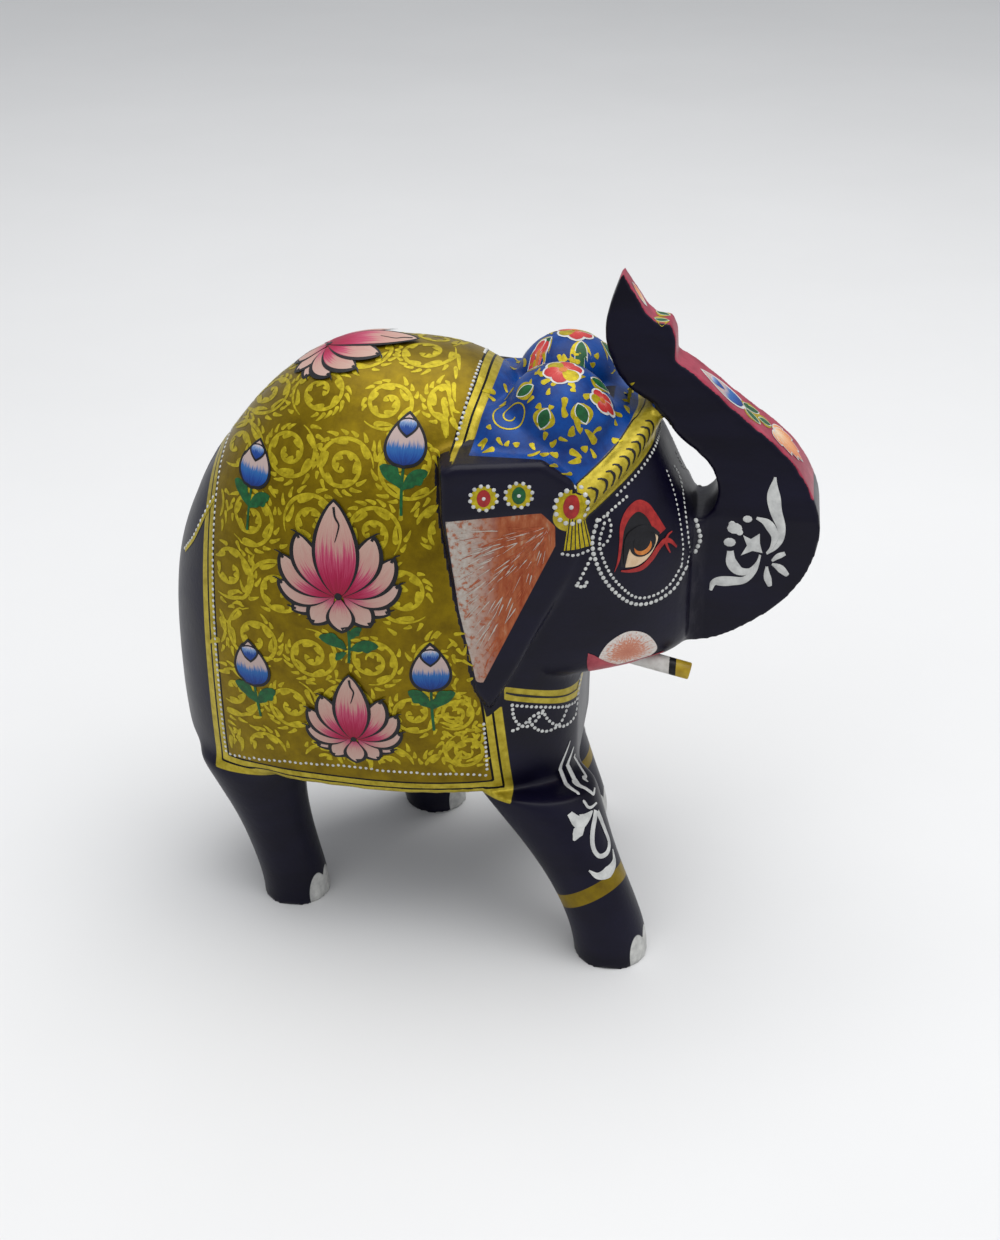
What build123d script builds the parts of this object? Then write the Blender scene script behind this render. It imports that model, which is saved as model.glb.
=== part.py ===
"""Carved wooden elephant with a raised trunk: two glued body boards, four legs, trunk, tusks and dowels.

Millimetres. +X is the way the elephant faces, +Y its left side, +Z up. The origin lies on the
standing surface, under the middle of the overall box.
"""
from build123d import *
import math
import os

# ---- driving dimensions -------------------------------------------------------------------
leg_joint_z = 64.0          # underside of the body, where the legs are glued on
board_joint_z = 134.0       # glue line between the two body boards
trunk_face_x = 74.0         # flat face on the head that the trunk is glued to
trunk_root_width = 30.0     # the trunk plank's width where it meets the face
trunk_tip_width = 8.0       # and at its tip
trunk_tip_z = 247.0         # height of the trunk's tip
trunk_taper_z = 165.0       # the plank starts to taper above this height
trunk_edge_round = 2.0

ear_lean = 13.0             # degrees that the ear's face turns in towards the front
ear_centre = (16.0, -50.0, 152.0)
ear_inset = 24.0            # depth of the ear's lobe behind its face
ear_panel_depth = 1.0
ear_edge_round = 2.0

dome_radius = 19.0
dome_centre = (27.0, 16.5, 199.0)
band_radius = 4.2
tail_radius = 4.5

foot_radius = 13.5
tusk_radius = 3.1
tusk_socket = 12.0
tusk_end_round = 0.6

dowel_leg_diameter = 10.0
dowel_leg_length = 30.0
dowel_body_diameter = 12.0
dowel_body_length = 50.0
dowel_trunk_diameter = 8.0
dowel_trunk_length = 34.0

# Barrel of the body, tail to chest: distance along X, half width, underside, back line.
# The underside runs below the joint plane, which cuts it flat.
barrel_stations = (
    (-114.5, 9.0, 80.0, 122.0),
    (-111.5, 21.0, 56.0, 145.0),
    (-104.0, 32.0, 40.0, 163.0),
    (-91.0, 42.5, 30.0, 184.0),
    (-70.0, 50.5, 28.0, 206.0),
    (-42.0, 54.5, 28.0, 218.0),
    (-14.0, 54.0, 28.0, 217.0),
    (8.0, 48.0, 28.0, 207.0),
    (21.0, 41.5, 32.0, 186.0),
    (31.0, 34.0, 40.0, 150.0),
    (36.5, 24.0, 50.0, 120.0),
)
# Head, jaw to crown: height, front, half width at the cheek, half width at the ears
head_stations = (
    (103.0, 48.0, 22.0, 31.0),
    (109.0, 61.0, 26.0, 35.0),
    (117.5, 75.5, 28.0, 37.5),
    (134.0, 78.0, 30.0, 39.5),
    (152.0, 78.5, 31.0, 41.0),
    (161.0, 76.0, 32.0, 42.0),
    (170.0, 71.0, 33.0, 42.5),
    (181.0, 65.5, 32.0, 42.0),
    (191.0, 60.0, 30.0, 40.0),
    (199.0, 52.0, 26.0, 35.0),
    (204.0, 42.0, 20.0, 27.0),
)
head_back_x = -4.0

# Ear outline in the ear's own plane: along the body, height above the ear's centre
ear_outline = (
    (-24.0, 41.0),
    (-20.0, 43.0),
    (10.0, 43.0),
    (20.0, 36.0),
    (25.0, 18.0),
    (20.0, 2.0),
    (11.0, -15.0),
    (1.0, -35.0),
    (-8.0, -50.0),
    (-13.0, -42.0),
    (-19.0, -8.0),
    (-24.0, 24.0),
)
ear_panel = (
    (-22.5, 24.0),
    (9.0, 26.5),
    (13.5, 22.0),
    (13.5, 17.0),
    (-11.5, -35.0),
    (-13.0, -36.0),
)

band_half = (
    (35.0, -42.5, 178.0),
    (43.0, -36.0, 184.5),
    (50.0, -27.0, 190.0),
    (54.5, -16.0, 194.5),
    (57.0, -6.0, 196.8),
)
tail_points = (
    (-91.0, 0.0, 177.0),
    (-102.0, 0.0, 158.0),
    (-109.0, 0.0, 136.0),
    (-112.0, 0.0, 112.0),
    (-111.5, 0.0, 84.0),
)

# Side outline of the trunk, from the top of its glue face round the curl to the chin
trunk_inner_edge = (
    (trunk_face_x, 163.0),
    (79.5, 165.5),
    (82.0, 173.0),
    (77.5, 184.0),
    (67.5, 192.0),
    (59.5, 201.5),
    (50.5, 207.5),
    (43.5, 217.0),
    (41.0, 228.0),
    (43.0, 238.0),
    (46.0, trunk_tip_z),
)
trunk_mouth = (
    (46.0, trunk_tip_z),
    (50.0, 241.0),
    (54.5, 234.0),
    (57.5, 231.0),
    (63.0, 230.5),
    (65.0, 226.0),
    (65.5, 217.5),
)
trunk_outer_edge = (
    (65.5, 217.5),
    (74.0, 212.5),
    (84.0, 204.0),
    (97.0, 194.0),
    (107.0, 185.0),
    (114.0, 174.0),
    (117.5, 163.0),
    (116.5, 152.0),
    (112.0, 141.0),
    (104.0, 131.0),
    (96.0, 124.5),
    (86.0, 118.5),
    (trunk_face_x, 115.5),
)

# Legs: centre along X, centre across, half length, half width at each height below the joint
foreleg_near = (
    (leg_joint_z, 21.5, 31.0, 22.5, 18.5),
    (50.0, 30.5, 35.5, 18.5, 17.0),
    (37.0, 38.5, 39.5, 15.4, 15.0),
    (22.0, 46.5, 43.0, 14.0, 13.8),
    (8.0, 51.5, 45.0, 13.8, 13.4),
    (0.0, 52.5, 45.5, foot_radius, foot_radius),
)
foreleg_far = (
    (leg_joint_z, 12.0, 29.0, 20.0, 17.5),
    (50.0, 15.0, 34.0, 17.0, 16.0),
    (37.0, 19.5, 39.5, 15.2, 14.8),
    (22.0, 24.5, 43.0, 14.0, 13.6),
    (8.0, 28.5, 45.0, 13.8, 13.4),
    (0.0, 29.5, 45.5, foot_radius, foot_radius),
)
hindleg_near = (
    (leg_joint_z, -85.0, 26.0, 21.5, 17.0),
    (53.0, -83.5, 26.0, 17.5, 15.5),
    (41.0, -80.5, 25.5, 14.6, 14.0),
    (27.0, -77.0, 25.0, 13.0, 12.8),
    (12.0, -73.5, 24.5, 12.6, 12.4),
    (0.0, -72.0, 24.5, 12.6, 12.4),
)
hindleg_far = (
    (leg_joint_z, -64.0, 30.0, 21.5, 17.0),
    (53.0, -57.0, 33.5, 17.5, 15.5),
    (41.0, -49.5, 38.0, 14.6, 14.0),
    (27.0, -40.5, 42.5, 13.0, 12.8),
    (12.0, -32.5, 45.5, 12.6, 12.4),
    (0.0, -29.0, 46.2, 12.6, 12.4),
)
leg_dowel_near_fore = (24.0, -28.0)
leg_dowel_far_fore = (13.5, 30.5)
leg_dowel_near_hind = (-83.0, -26.0)
leg_dowel_far_hind = (-60.0, 31.0)
body_dowels_x = (-72.0, 2.0)
trunk_dowels_z = (128.0, 158.0)

tusk_root = (47.0, -21.0, 113.5)
tusk_tip = (76.0, -22.5, 107.5)

RIGHT = -1
LEFT = 1


def rounded_ring(half_across, low, high, squareness_low, squareness_high, count=20):
    """Points of a closed barrel section: flatter below, rounder above."""
    middle = low + 0.55 * (high - low)
    points = []
    for step in range(count):
        angle = 2 * math.pi * (step + 0.5) / count
        c, s = math.cos(angle), math.sin(angle)
        power = 2.0 / (squareness_high if s > 0 else squareness_low)
        across = half_across * math.copysign(abs(c) ** power, c)
        reach = (high - middle) if s > 0 else (middle - low)
        points.append((across, middle + reach * math.copysign(abs(s) ** power, s)))
    return points


def head_ring(front, cheek, temple):
    """Points of one horizontal head section: a blunt nose that widens to the ears."""
    nose = min(cheek * 0.62, 15.0)
    half = [
        (front, nose * 0.55),
        (front - 1.2, nose),
        (front - 14.0, cheek),
        (front - 32.0, temple),
        (head_back_x + 8.0, temple * 0.96),
        (head_back_x, temple * 0.6),
    ]
    return half + [(x, -y) for x, y in reversed(half)]


def leg_part(stations, side):
    """One carved leg, from the flat glued top down to the flat sole."""
    with BuildPart() as leg:
        for height, x, across, half_long, half_wide in stations:
            with BuildSketch(Plane.XY.offset(height)):
                with Locations((x, side * across)):
                    Ellipse(half_long, half_wide)
        loft()
    return leg.part


# ---- the carved body, before it is parted into its two boards ------------------------------
with BuildPart() as barrel:
    for x, half_width, low, high in barrel_stations:
        with BuildSketch(Plane.YZ.offset(x)):
            with BuildLine():
                Spline(*rounded_ring(half_width, low, high, 3.0, 2.15), periodic=True)
            make_face()
    loft()

with BuildPart() as head:
    for z, front, cheek, temple in head_stations:
        with BuildSketch(Plane.XY.offset(z)):
            with BuildLine():
                Spline(*head_ring(front, cheek, temple), periodic=True)
            make_face()
    loft()



def ear_part(side):
    """One ear: a lobe with a rounded rim and a shallow recessed panel, leaning in towards the front."""
    lean_cos, lean_sin = math.cos(math.radians(ear_lean)), math.sin(math.radians(ear_lean))
    ear_plane = Plane(
        origin=(ear_centre[0], side * abs(ear_centre[1]), ear_centre[2]),
        x_dir=(lean_cos, -side * lean_sin, 0),
        z_dir=(lean_sin, side * lean_cos, 0),
    )
    with BuildPart() as ear:
        with BuildSketch(ear_plane):
            with BuildLine():
                Polyline(*[(along, -side * height) for along, height in ear_outline], close=True)
            make_face()
        extrude(amount=-ear_inset)
        outer_face = ear.faces().sort_by(Axis.Y)[0 if side == RIGHT else -1]
        fillet(outer_face.edges(), ear_edge_round)
        with BuildSketch(ear_plane):
            with BuildLine():
                Polyline(*[(along, -side * height) for along, height in ear_panel], close=True)
            make_face()
        extrude(amount=-ear_panel_depth, mode=Mode.SUBTRACT)
    return ear.part


# One crown dome
with BuildPart() as dome:
    with BuildSketch(Plane.XZ):
        with BuildLine():
            CenterArc((0, 0), dome_radius, -90, 180)
            Line((0, -dome_radius), (0, dome_radius))
        make_face()
    revolve(axis=Axis.Z)
dome_right = Pos(dome_centre[0], -dome_centre[1], dome_centre[2]) * dome.part
dome_left = Pos(*dome_centre) * dome.part

# Raised headband over the forehead, from one ear's front corner to the other's
with BuildPart() as band:
    with BuildLine():
        band_path = Spline(*band_half, *[(x, -y, z) for x, y, z in reversed(band_half)])
    with BuildSketch(Plane(origin=band_path @ 0, z_dir=band_path % 0)):
        Circle(band_radius)
    sweep()

# Tail carved in relief down the rump
with BuildPart() as tail:
    with BuildLine():
        tail_path = Spline(*tail_points)
    with BuildSketch(Plane(origin=tail_path @ 0, z_dir=tail_path % 0)):
        Circle(tail_radius)
    sweep()

with BuildPart() as body:
    add(head.part)
    add(ear_part(RIGHT))
    add(ear_part(LEFT))
    add(dome_left)
    add(dome_right)
    add(band.part)
    add(barrel.part)
    add(tail.part)
    # the flat underside that the legs are glued to, then the flat face for the trunk
    split(bisect_by=Plane.XY.offset(leg_joint_z), keep=Keep.TOP)
    split(bisect_by=Plane.YZ.offset(trunk_face_x), keep=Keep.BOTTOM)


# ---- dowels and tusks: each is also the cutter of its own socket ---------------------------
def dowel_part(centre, direction, diameter, length):
    """A plain dowel pin with its centre on the glue face."""
    with BuildPart(Plane(origin=centre, z_dir=direction)) as pin:
        Cylinder(diameter / 2, length)
    return pin.part


def leg_dowel(where):
    return dowel_part((*where, leg_joint_z), (0, 0, 1), dowel_leg_diameter, dowel_leg_length)


def tusk_parts(side):
    """The tusk peg, from the bottom of its socket to its tip, and the plain socket cutter."""
    root = Vector(tusk_root[0], -side * tusk_root[1], tusk_root[2])
    tip = Vector(tusk_tip[0], -side * tusk_tip[1], tusk_tip[2])
    along = (tip - root).normalized()
    start = root - along * tusk_socket
    peg_plane = Plane(origin=start, z_dir=along)
    with BuildPart() as peg:
        with BuildSketch(peg_plane):
            Circle(tusk_radius)
        extrude(amount=(tip - start).length)
        fillet(peg.edges().sort_by(Axis.X)[-1], tusk_end_round)
    with BuildPart() as socket:
        with BuildSketch(peg_plane):
            Circle(tusk_radius)
        extrude(amount=tusk_socket * 6)
    return peg.part, socket.part


dowels_leg = {
    "dowel_leg_front_right": leg_dowel(leg_dowel_near_fore),
    "dowel_leg_front_left": leg_dowel(leg_dowel_far_fore),
    "dowel_leg_hind_right": leg_dowel(leg_dowel_near_hind),
    "dowel_leg_hind_left": leg_dowel(leg_dowel_far_hind),
}
dowels_body = {
    name: dowel_part((x, 0, board_joint_z), (0, 0, 1), dowel_body_diameter, dowel_body_length)
    for name, x in zip(("dowel_body_rear", "dowel_body_front"), body_dowels_x)
}
dowels_trunk = {
    name: dowel_part((trunk_face_x, 0, z), (1, 0, 0), dowel_trunk_diameter, dowel_trunk_length)
    for name, z in zip(("dowel_trunk_lower", "dowel_trunk_upper"), trunk_dowels_z)
}
tusk_peg_right, tusk_socket_right = tusk_parts(RIGHT)
tusk_peg_left, tusk_socket_left = tusk_parts(LEFT)
sockets = [*dowels_leg.values(), *dowels_body.values(), *dowels_trunk.values()]
sockets += [tusk_socket_right, tusk_socket_left]

# ---- trunk: cut from a plank, its two flat sides closing in towards the tip ----------------
with BuildPart() as trunk:
    with BuildSketch(Plane.XZ):
        with BuildLine():
            Spline(*trunk_inner_edge)
            Polyline(*trunk_mouth)
            Spline(*trunk_outer_edge)
            Line(trunk_outer_edge[-1], trunk_inner_edge[0])
        make_face()
    extrude(amount=trunk_root_width, both=True)
    with BuildSketch(Plane.YZ):
        with BuildLine():
            Polyline(
                (-trunk_root_width / 2, 0),
                (-trunk_root_width / 2, trunk_taper_z),
                (-trunk_tip_width / 2, trunk_tip_z + 1),
                (trunk_tip_width / 2, trunk_tip_z + 1),
                (trunk_root_width / 2, trunk_taper_z),
                (trunk_root_width / 2, 0),
                close=True,
            )
        make_face()
    extrude(amount=trunk_face_x * 2, mode=Mode.INTERSECT)
    for pin in dowels_trunk.values():
        add(pin, mode=Mode.SUBTRACT)

# ---- the two boards ------------------------------------------------------------------------
with BuildPart() as body_lower:
    add(body.part)
    split(bisect_by=Plane.XY.offset(board_joint_z), keep=Keep.BOTTOM)
    for socket in sockets:
        add(socket, mode=Mode.SUBTRACT)
with BuildPart() as body_upper:
    add(body.part)
    split(bisect_by=Plane.XY.offset(board_joint_z), keep=Keep.TOP)
    # the crown is trimmed where the trunk rests against it
    add(trunk.part, mode=Mode.SUBTRACT)
    for socket in sockets:
        add(socket, mode=Mode.SUBTRACT)


# ---- legs ----------------------------------------------------------------------------------
def doweled_leg(stations, side, pin):
    with BuildPart() as leg:
        add(leg_part(stations, side))
        add(pin, mode=Mode.SUBTRACT)
    return leg.part


pieces = {
    "body_upper": body_upper.part,
    "body_lower": body_lower.part,
    "trunk": trunk.part,
    "leg_front_right": doweled_leg(foreleg_near, RIGHT, dowels_leg["dowel_leg_front_right"]),
    "leg_front_left": doweled_leg(foreleg_far, LEFT, dowels_leg["dowel_leg_front_left"]),
    "leg_hind_right": doweled_leg(hindleg_near, RIGHT, dowels_leg["dowel_leg_hind_right"]),
    "leg_hind_left": doweled_leg(hindleg_far, LEFT, dowels_leg["dowel_leg_hind_left"]),
    "tusk_right": tusk_peg_right,
    "tusk_left": tusk_peg_left,
    **dowels_leg,
    **dowels_body,
    **dowels_trunk,
}

# The origin goes under the middle of the overall box, on the standing surface.
boxes = [piece.bounding_box() for piece in pieces.values()]
middle_x = (min(box.min.X for box in boxes) + max(box.max.X for box in boxes)) / 2
middle_y = (min(box.min.Y for box in boxes) + max(box.max.Y for box in boxes)) / 2

os.makedirs("parts", exist_ok=True)
for name, piece in pieces.items():
    placed = piece.moved(Location((-middle_x, -middle_y, 0)))
    placed.label = name
    export_step(placed, f"parts/{name}.step")
print(f"origin moved by {middle_x:.2f}, {middle_y:.2f} mm")
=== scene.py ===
"""Looks of the carved and painted wooden elephant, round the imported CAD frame.

The frame is in metres, +X forward and +Z up; everything drawn on it is in millimetres.
"""

import math
import random

import bmesh
import bpy
import numpy as np
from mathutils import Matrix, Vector
from mathutils.bvhtree import BVHTree


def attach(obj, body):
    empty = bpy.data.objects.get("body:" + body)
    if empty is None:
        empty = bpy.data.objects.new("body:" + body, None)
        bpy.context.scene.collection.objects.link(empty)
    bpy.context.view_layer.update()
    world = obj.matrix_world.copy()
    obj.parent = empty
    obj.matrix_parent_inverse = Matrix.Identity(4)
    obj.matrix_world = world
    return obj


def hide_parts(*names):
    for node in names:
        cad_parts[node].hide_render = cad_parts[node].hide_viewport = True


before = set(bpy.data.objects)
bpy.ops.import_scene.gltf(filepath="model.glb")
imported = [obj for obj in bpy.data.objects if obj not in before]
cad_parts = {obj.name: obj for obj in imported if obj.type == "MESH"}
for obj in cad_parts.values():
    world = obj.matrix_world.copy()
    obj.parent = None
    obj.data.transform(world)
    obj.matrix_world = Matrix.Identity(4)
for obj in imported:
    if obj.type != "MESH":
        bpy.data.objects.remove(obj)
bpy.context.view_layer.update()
MM = 0.001
SEED = 20260
SIDES = (-1, 1)  # right, left
BODY_NODES = ("body_upper", "body_lower", "leg_front_right", "leg_front_left", "leg_hind_right",
              "leg_hind_left")
DOWEL_NODES = tuple(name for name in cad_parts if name.startswith("dowel"))
BODY_VOXEL = 0.001
BODY_SMOOTH_STEPS = 14
HIP_SMOOTH_STEPS = 130
SHRINK, GROW_BACK = 0.5, -0.52  # pulls of one smoothing step; every third one does not grow back


# ---- meshes from the frame -----------------------------------------------------------------
def in_scene(name, data):
    obj = bpy.data.objects.new(name, data)
    bpy.context.scene.collection.objects.link(obj)
    return obj


def wear(obj, material):
    """Gives the object this one material."""
    obj.data.materials.clear()
    obj.data.materials.append(material)


def per_vertex(items, name):
    """One row of three numbers per vertex."""
    flat = np.empty(len(items) * 3)
    items.foreach_get(name, flat)
    return flat.reshape(-1, 3)


def gathered_mesh(name, nodes):
    """One mesh holding copies of the named CAD nodes."""
    verts, faces = [], []
    for node in nodes:
        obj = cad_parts[node]
        base = len(verts)
        verts += [obj.matrix_world @ v.co for v in obj.data.vertices]
        faces += [tuple(base + i for i in p.vertices) for p in obj.data.polygons]
    mesh = bpy.data.meshes.new(name)
    mesh.from_pydata(verts, [], faces)
    return mesh


def remeshed(name, nodes):
    """The nodes' shared outer skin as one even mesh."""
    obj = in_scene(name, gathered_mesh(name, nodes))
    bm = bmesh.new()
    bm.from_mesh(obj.data)
    bmesh.ops.remove_doubles(bm, verts=bm.verts, dist=1e-6)
    bm.to_mesh(obj.data)
    bm.free()
    skin = obj.modifiers.new("skin", "REMESH")
    skin.mode = "VOXEL"
    skin.voxel_size = BODY_VOXEL
    graph = bpy.context.evaluated_depsgraph_get()
    mesh = bpy.data.meshes.new_from_object(obj.evaluated_get(graph))
    obj.modifiers.clear()
    obj.data = mesh
    mesh.name = name
    for polygon in mesh.polygons:
        polygon.use_smooth = True
    return obj


def relax(obj, steps, weight):
    """Evens out the skin; weight gives each vertex's share of the move, from its place in mm."""
    mesh = obj.data
    co = per_vertex(mesh.vertices, "co")
    edges = np.empty(len(mesh.edges) * 2, dtype=np.int64)
    mesh.edges.foreach_get("vertices", edges)
    edges = edges.reshape(-1, 2)
    degree = np.bincount(edges.ravel(), minlength=len(co)).astype(float)
    share = np.clip(weight(co / MM), 0, 1)[:, None]
    for step in range(steps):
        for factor in (SHRINK, GROW_BACK if step % 3 else 0.0):
            total = np.zeros_like(co)
            for axis in range(3):
                total[:, axis] = np.bincount(edges[:, 0], co[edges[:, 1], axis], len(co))
                total[:, axis] += np.bincount(edges[:, 1], co[edges[:, 0], axis], len(co))
            co += share * factor * (total / degree[:, None] - co)
    mesh.vertices.foreach_set("co", co.ravel())
    mesh.update()


def smooth_step(value, low, high):
    t = np.clip((value - low) / (high - low), 0, 1)
    return t * t * (3 - 2 * t)


# ---- body and trunk ------------------------------------------------------------------------
def body_share(p):
    """Full but at the soles, which stay flat, and on the trunk, which keeps its plank edges."""
    upper_trunk = smooth_step(p[:, 2], 210, 214) * smooth_step(p[:, 0], 44, 46)
    on_trunk = np.maximum(smooth_step(p[:, 0], 76, 80), upper_trunk)
    return smooth_step(p[:, 2], 0.5, 5.0) * (1 - 0.7 * on_trunk)


def hip_share(p):
    """Extra smoothing where the legs leave the body."""
    ends = np.maximum(smooth_step(-p[:, 0], 66, 76), 0.5 * smooth_step(p[:, 0], 18, 28))
    return smooth_step(p[:, 2], 46, 56) * smooth_step(-p[:, 2], -88, -76) * ends


body = remeshed("carved_body", BODY_NODES + DOWEL_NODES + ("trunk",))
relax(body, BODY_SMOOTH_STEPS, body_share)
relax(body, HIP_SMOOTH_STEPS, hip_share)
# for ray casting on the skin, in millimetres
BODY_TREE = BVHTree.FromPolygons([tuple(c) for c in per_vertex(body.data.vertices, "co") / MM],
                                 [tuple(face.vertices) for face in body.data.polygons])


# ---- paint sheets: smooth maps from flat drawing coordinates to the carved surface -----------
class Sheet:
    """A grid of surface points that flat drawings are laid on. Coordinates are millimetres."""

    def __init__(self, points, u_range, v_range):
        self.points = points
        self.u0, self.u1 = u_range
        self.v0, self.v1 = v_range
        du = np.gradient(points, axis=0)
        dv = np.gradient(points, axis=1)
        normals = np.cross(du, dv)
        normals /= np.linalg.norm(normals, axis=2, keepdims=True) + 1e-12
        self.normals = normals

    def at(self, places):
        """Flat coordinates of points given in space, for a cast sheet (right-hand side values)."""
        offset = np.atleast_2d(places) - self.origin
        return np.stack([offset @ self.u_axis, offset @ self.v_axis], axis=1)

    def down_to(self, x, z):
        """Skin length at which a wrapped sheet reaches the height z, at one x."""
        nu, nv = self.points.shape[:2]
        row = self.points[int(round((x - self.u0) / (self.u1 - self.u0) * (nu - 1)))]
        first = int(np.argmax(row[:, 2] < z))
        return self.v0 + (self.v1 - self.v0) * first / (nv - 1)

    def spine(self, x):
        """Where the back's ridge lies on a wrapped sheet, at one x."""
        return float(np.interp(x, np.linspace(self.u0, self.u1, len(self.starts)), self.starts))

    def flipped(self):
        """The sheet with its normals turned to the other side."""
        self.normals = -self.normals
        return self

    def place(self, flat, lift):
        """Surface positions of flat points (n, 2), raised by lift along the normal."""
        flat = np.asarray(flat, float)
        nu, nv = self.points.shape[:2]
        a = np.clip((flat[:, 0] - self.u0) / (self.u1 - self.u0) * (nu - 1), 0, nu - 1.001)
        b = np.clip((flat[:, 1] - self.v0) / (self.v1 - self.v0) * (nv - 1), 0, nv - 1.001)
        i, j = a.astype(int), b.astype(int)
        fa, fb = (a - i)[:, None], (b - j)[:, None]

        def blend(grid):
            top = grid[i, j] * (1 - fa) + grid[i + 1, j] * fa
            low = grid[i, j + 1] * (1 - fa) + grid[i + 1, j + 1] * fa
            return top * (1 - fb) + low * fb

        normal = blend(self.normals)
        normal /= np.linalg.norm(normal, axis=1, keepdims=True) + 1e-12
        return blend(self.points) + normal * np.asarray(lift, float).reshape(-1, 1), normal


def filled_gaps(points, missed):
    """Cells that no ray reached take the nearest reached cell's depth, row by row."""
    for row in range(points.shape[0]):
        good = np.flatnonzero(~missed[row])
        if len(good) == 0:
            continue
        for col in np.flatnonzero(missed[row]):
            nearest = good[np.argmin(np.abs(good - col))]
            points[row, col] = points[row, nearest]
    return points


def cast_sheet(origin, u_axis, v_axis, u_range, v_range, step=1.0, side=-1):
    """Projects a flat rectangle onto the right-hand skin along -(u x v); side 1 mirrors it left."""
    origin, u_axis, v_axis = (np.array(a, float) for a in (origin, u_axis, v_axis))
    u_axis /= np.linalg.norm(u_axis)
    v_axis /= np.linalg.norm(v_axis)
    to_side = np.array([1, -side, 1])
    down = -np.cross(u_axis, v_axis) * to_side
    nu = int((u_range[1] - u_range[0]) / step) + 1
    nv = int((v_range[1] - v_range[0]) / step) + 1
    points = np.zeros((nu, nv, 3))
    missed = np.zeros((nu, nv), bool)
    for i, u in enumerate(np.linspace(*u_range, nu)):
        for j, v in enumerate(np.linspace(*v_range, nv)):
            start = (origin + u_axis * u + v_axis * v) * to_side
            hit = BODY_TREE.ray_cast(Vector(start), Vector(down))[0]
            if hit is None:
                missed[i, j] = True
                points[i, j] = start
            else:
                points[i, j] = hit
    sheet = Sheet(filled_gaps(points, missed), u_range, v_range)
    sheet.origin, sheet.u_axis, sheet.v_axis = origin, u_axis, v_axis
    return sheet.flipped() if side > 0 else sheet


def flank_sheet(x_range, z_range, side):
    """One side of the elephant seen square on: flat coordinates are x and z."""
    return cast_sheet((0, -120, 0), (1, 0, 0), (0, 0, 1), x_range, z_range, 0.8, side)


WAIST_Z = 130.0
WAIST_V = 120.0
WRAP_DEGREES = 158


def wrap_sheet(x_range, axis_z, reach, side):
    """Wraps the barrel: u is x, v runs down the skin and is WAIST_V at the height WAIST_Z."""
    nx = int(x_range[1] - x_range[0]) + 1
    angles = np.radians(np.linspace(0, WRAP_DEGREES, WRAP_DEGREES + 1))
    fine = 2 * reach
    points = np.zeros((nx, fine + 1, 3))
    starts = np.zeros(nx)
    for i, x in enumerate(np.linspace(*x_range, nx)):
        ring = []
        for angle in angles:
            out = Vector((0, side * math.sin(angle), math.cos(angle)))
            start = Vector((x, 0, axis_z)) + out * 200
            hit = BODY_TREE.ray_cast(start, -out)[0]
            if hit is not None:
                ring.append(hit)
        ring = np.array(ring)
        length = np.concatenate([[0], np.cumsum(np.linalg.norm(np.diff(ring, axis=0), axis=1))])
        starts[i] = WAIST_V - length[int(np.argmax(ring[:, 2] < WAIST_Z))]
        wanted = np.linspace(0, reach, fine + 1) - starts[i]
        for axis in range(3):
            points[i, :, axis] = np.interp(wanted, length, ring[:, axis])
    sheet = Sheet(points, x_range, (0, reach))
    sheet.starts = starts
    return sheet


# ---- drawing tools -------------------------------------------------------------------------
def curve(points, step=0.9):
    """An even, smooth line through the points (Catmull-Rom)."""
    p = np.asarray(points, float)
    p = np.vstack([2 * p[0] - p[1], p, 2 * p[-1] - p[-2]])
    out = []
    for k in range(1, len(p) - 2):
        a, b, c, d = p[k - 1:k + 3]
        count = max(2, int(np.linalg.norm(c - b) / step) + 1)
        for t in np.linspace(0, 1, count, endpoint=False):
            out.append(0.5 * (2 * b + (c - a) * t + (2 * a - 5 * b + 4 * c - d) * t ** 2
                              + (3 * b - a - 3 * c + d) * t ** 3))
    out.append(p[-2])
    return np.array(out)


def side_ways(line):
    """Unit vectors to the left of a flat line at each of its points."""
    along = np.gradient(line, axis=0)
    along /= np.linalg.norm(along, axis=1, keepdims=True) + 1e-9
    return np.stack([-along[:, 1], along[:, 0]], axis=1)


def unit(angle):
    """The flat unit vector at an angle in radians."""
    return np.array([math.cos(angle), math.sin(angle)])


def shares(count, first=0.0, last=1.0):
    """Even shares of a line's length, as a column."""
    return np.linspace(first, last, count)[:, None]


def bent(root, middle, tip, count):
    """A flat curve from root to tip, pulled towards middle."""
    t = shares(count)
    return (1 - t) ** 2 * root + 2 * t * (1 - t) * middle + t ** 2 * tip


def pairs(first, second):
    return np.stack(np.broadcast_arrays(first, second), axis=-1)


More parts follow.
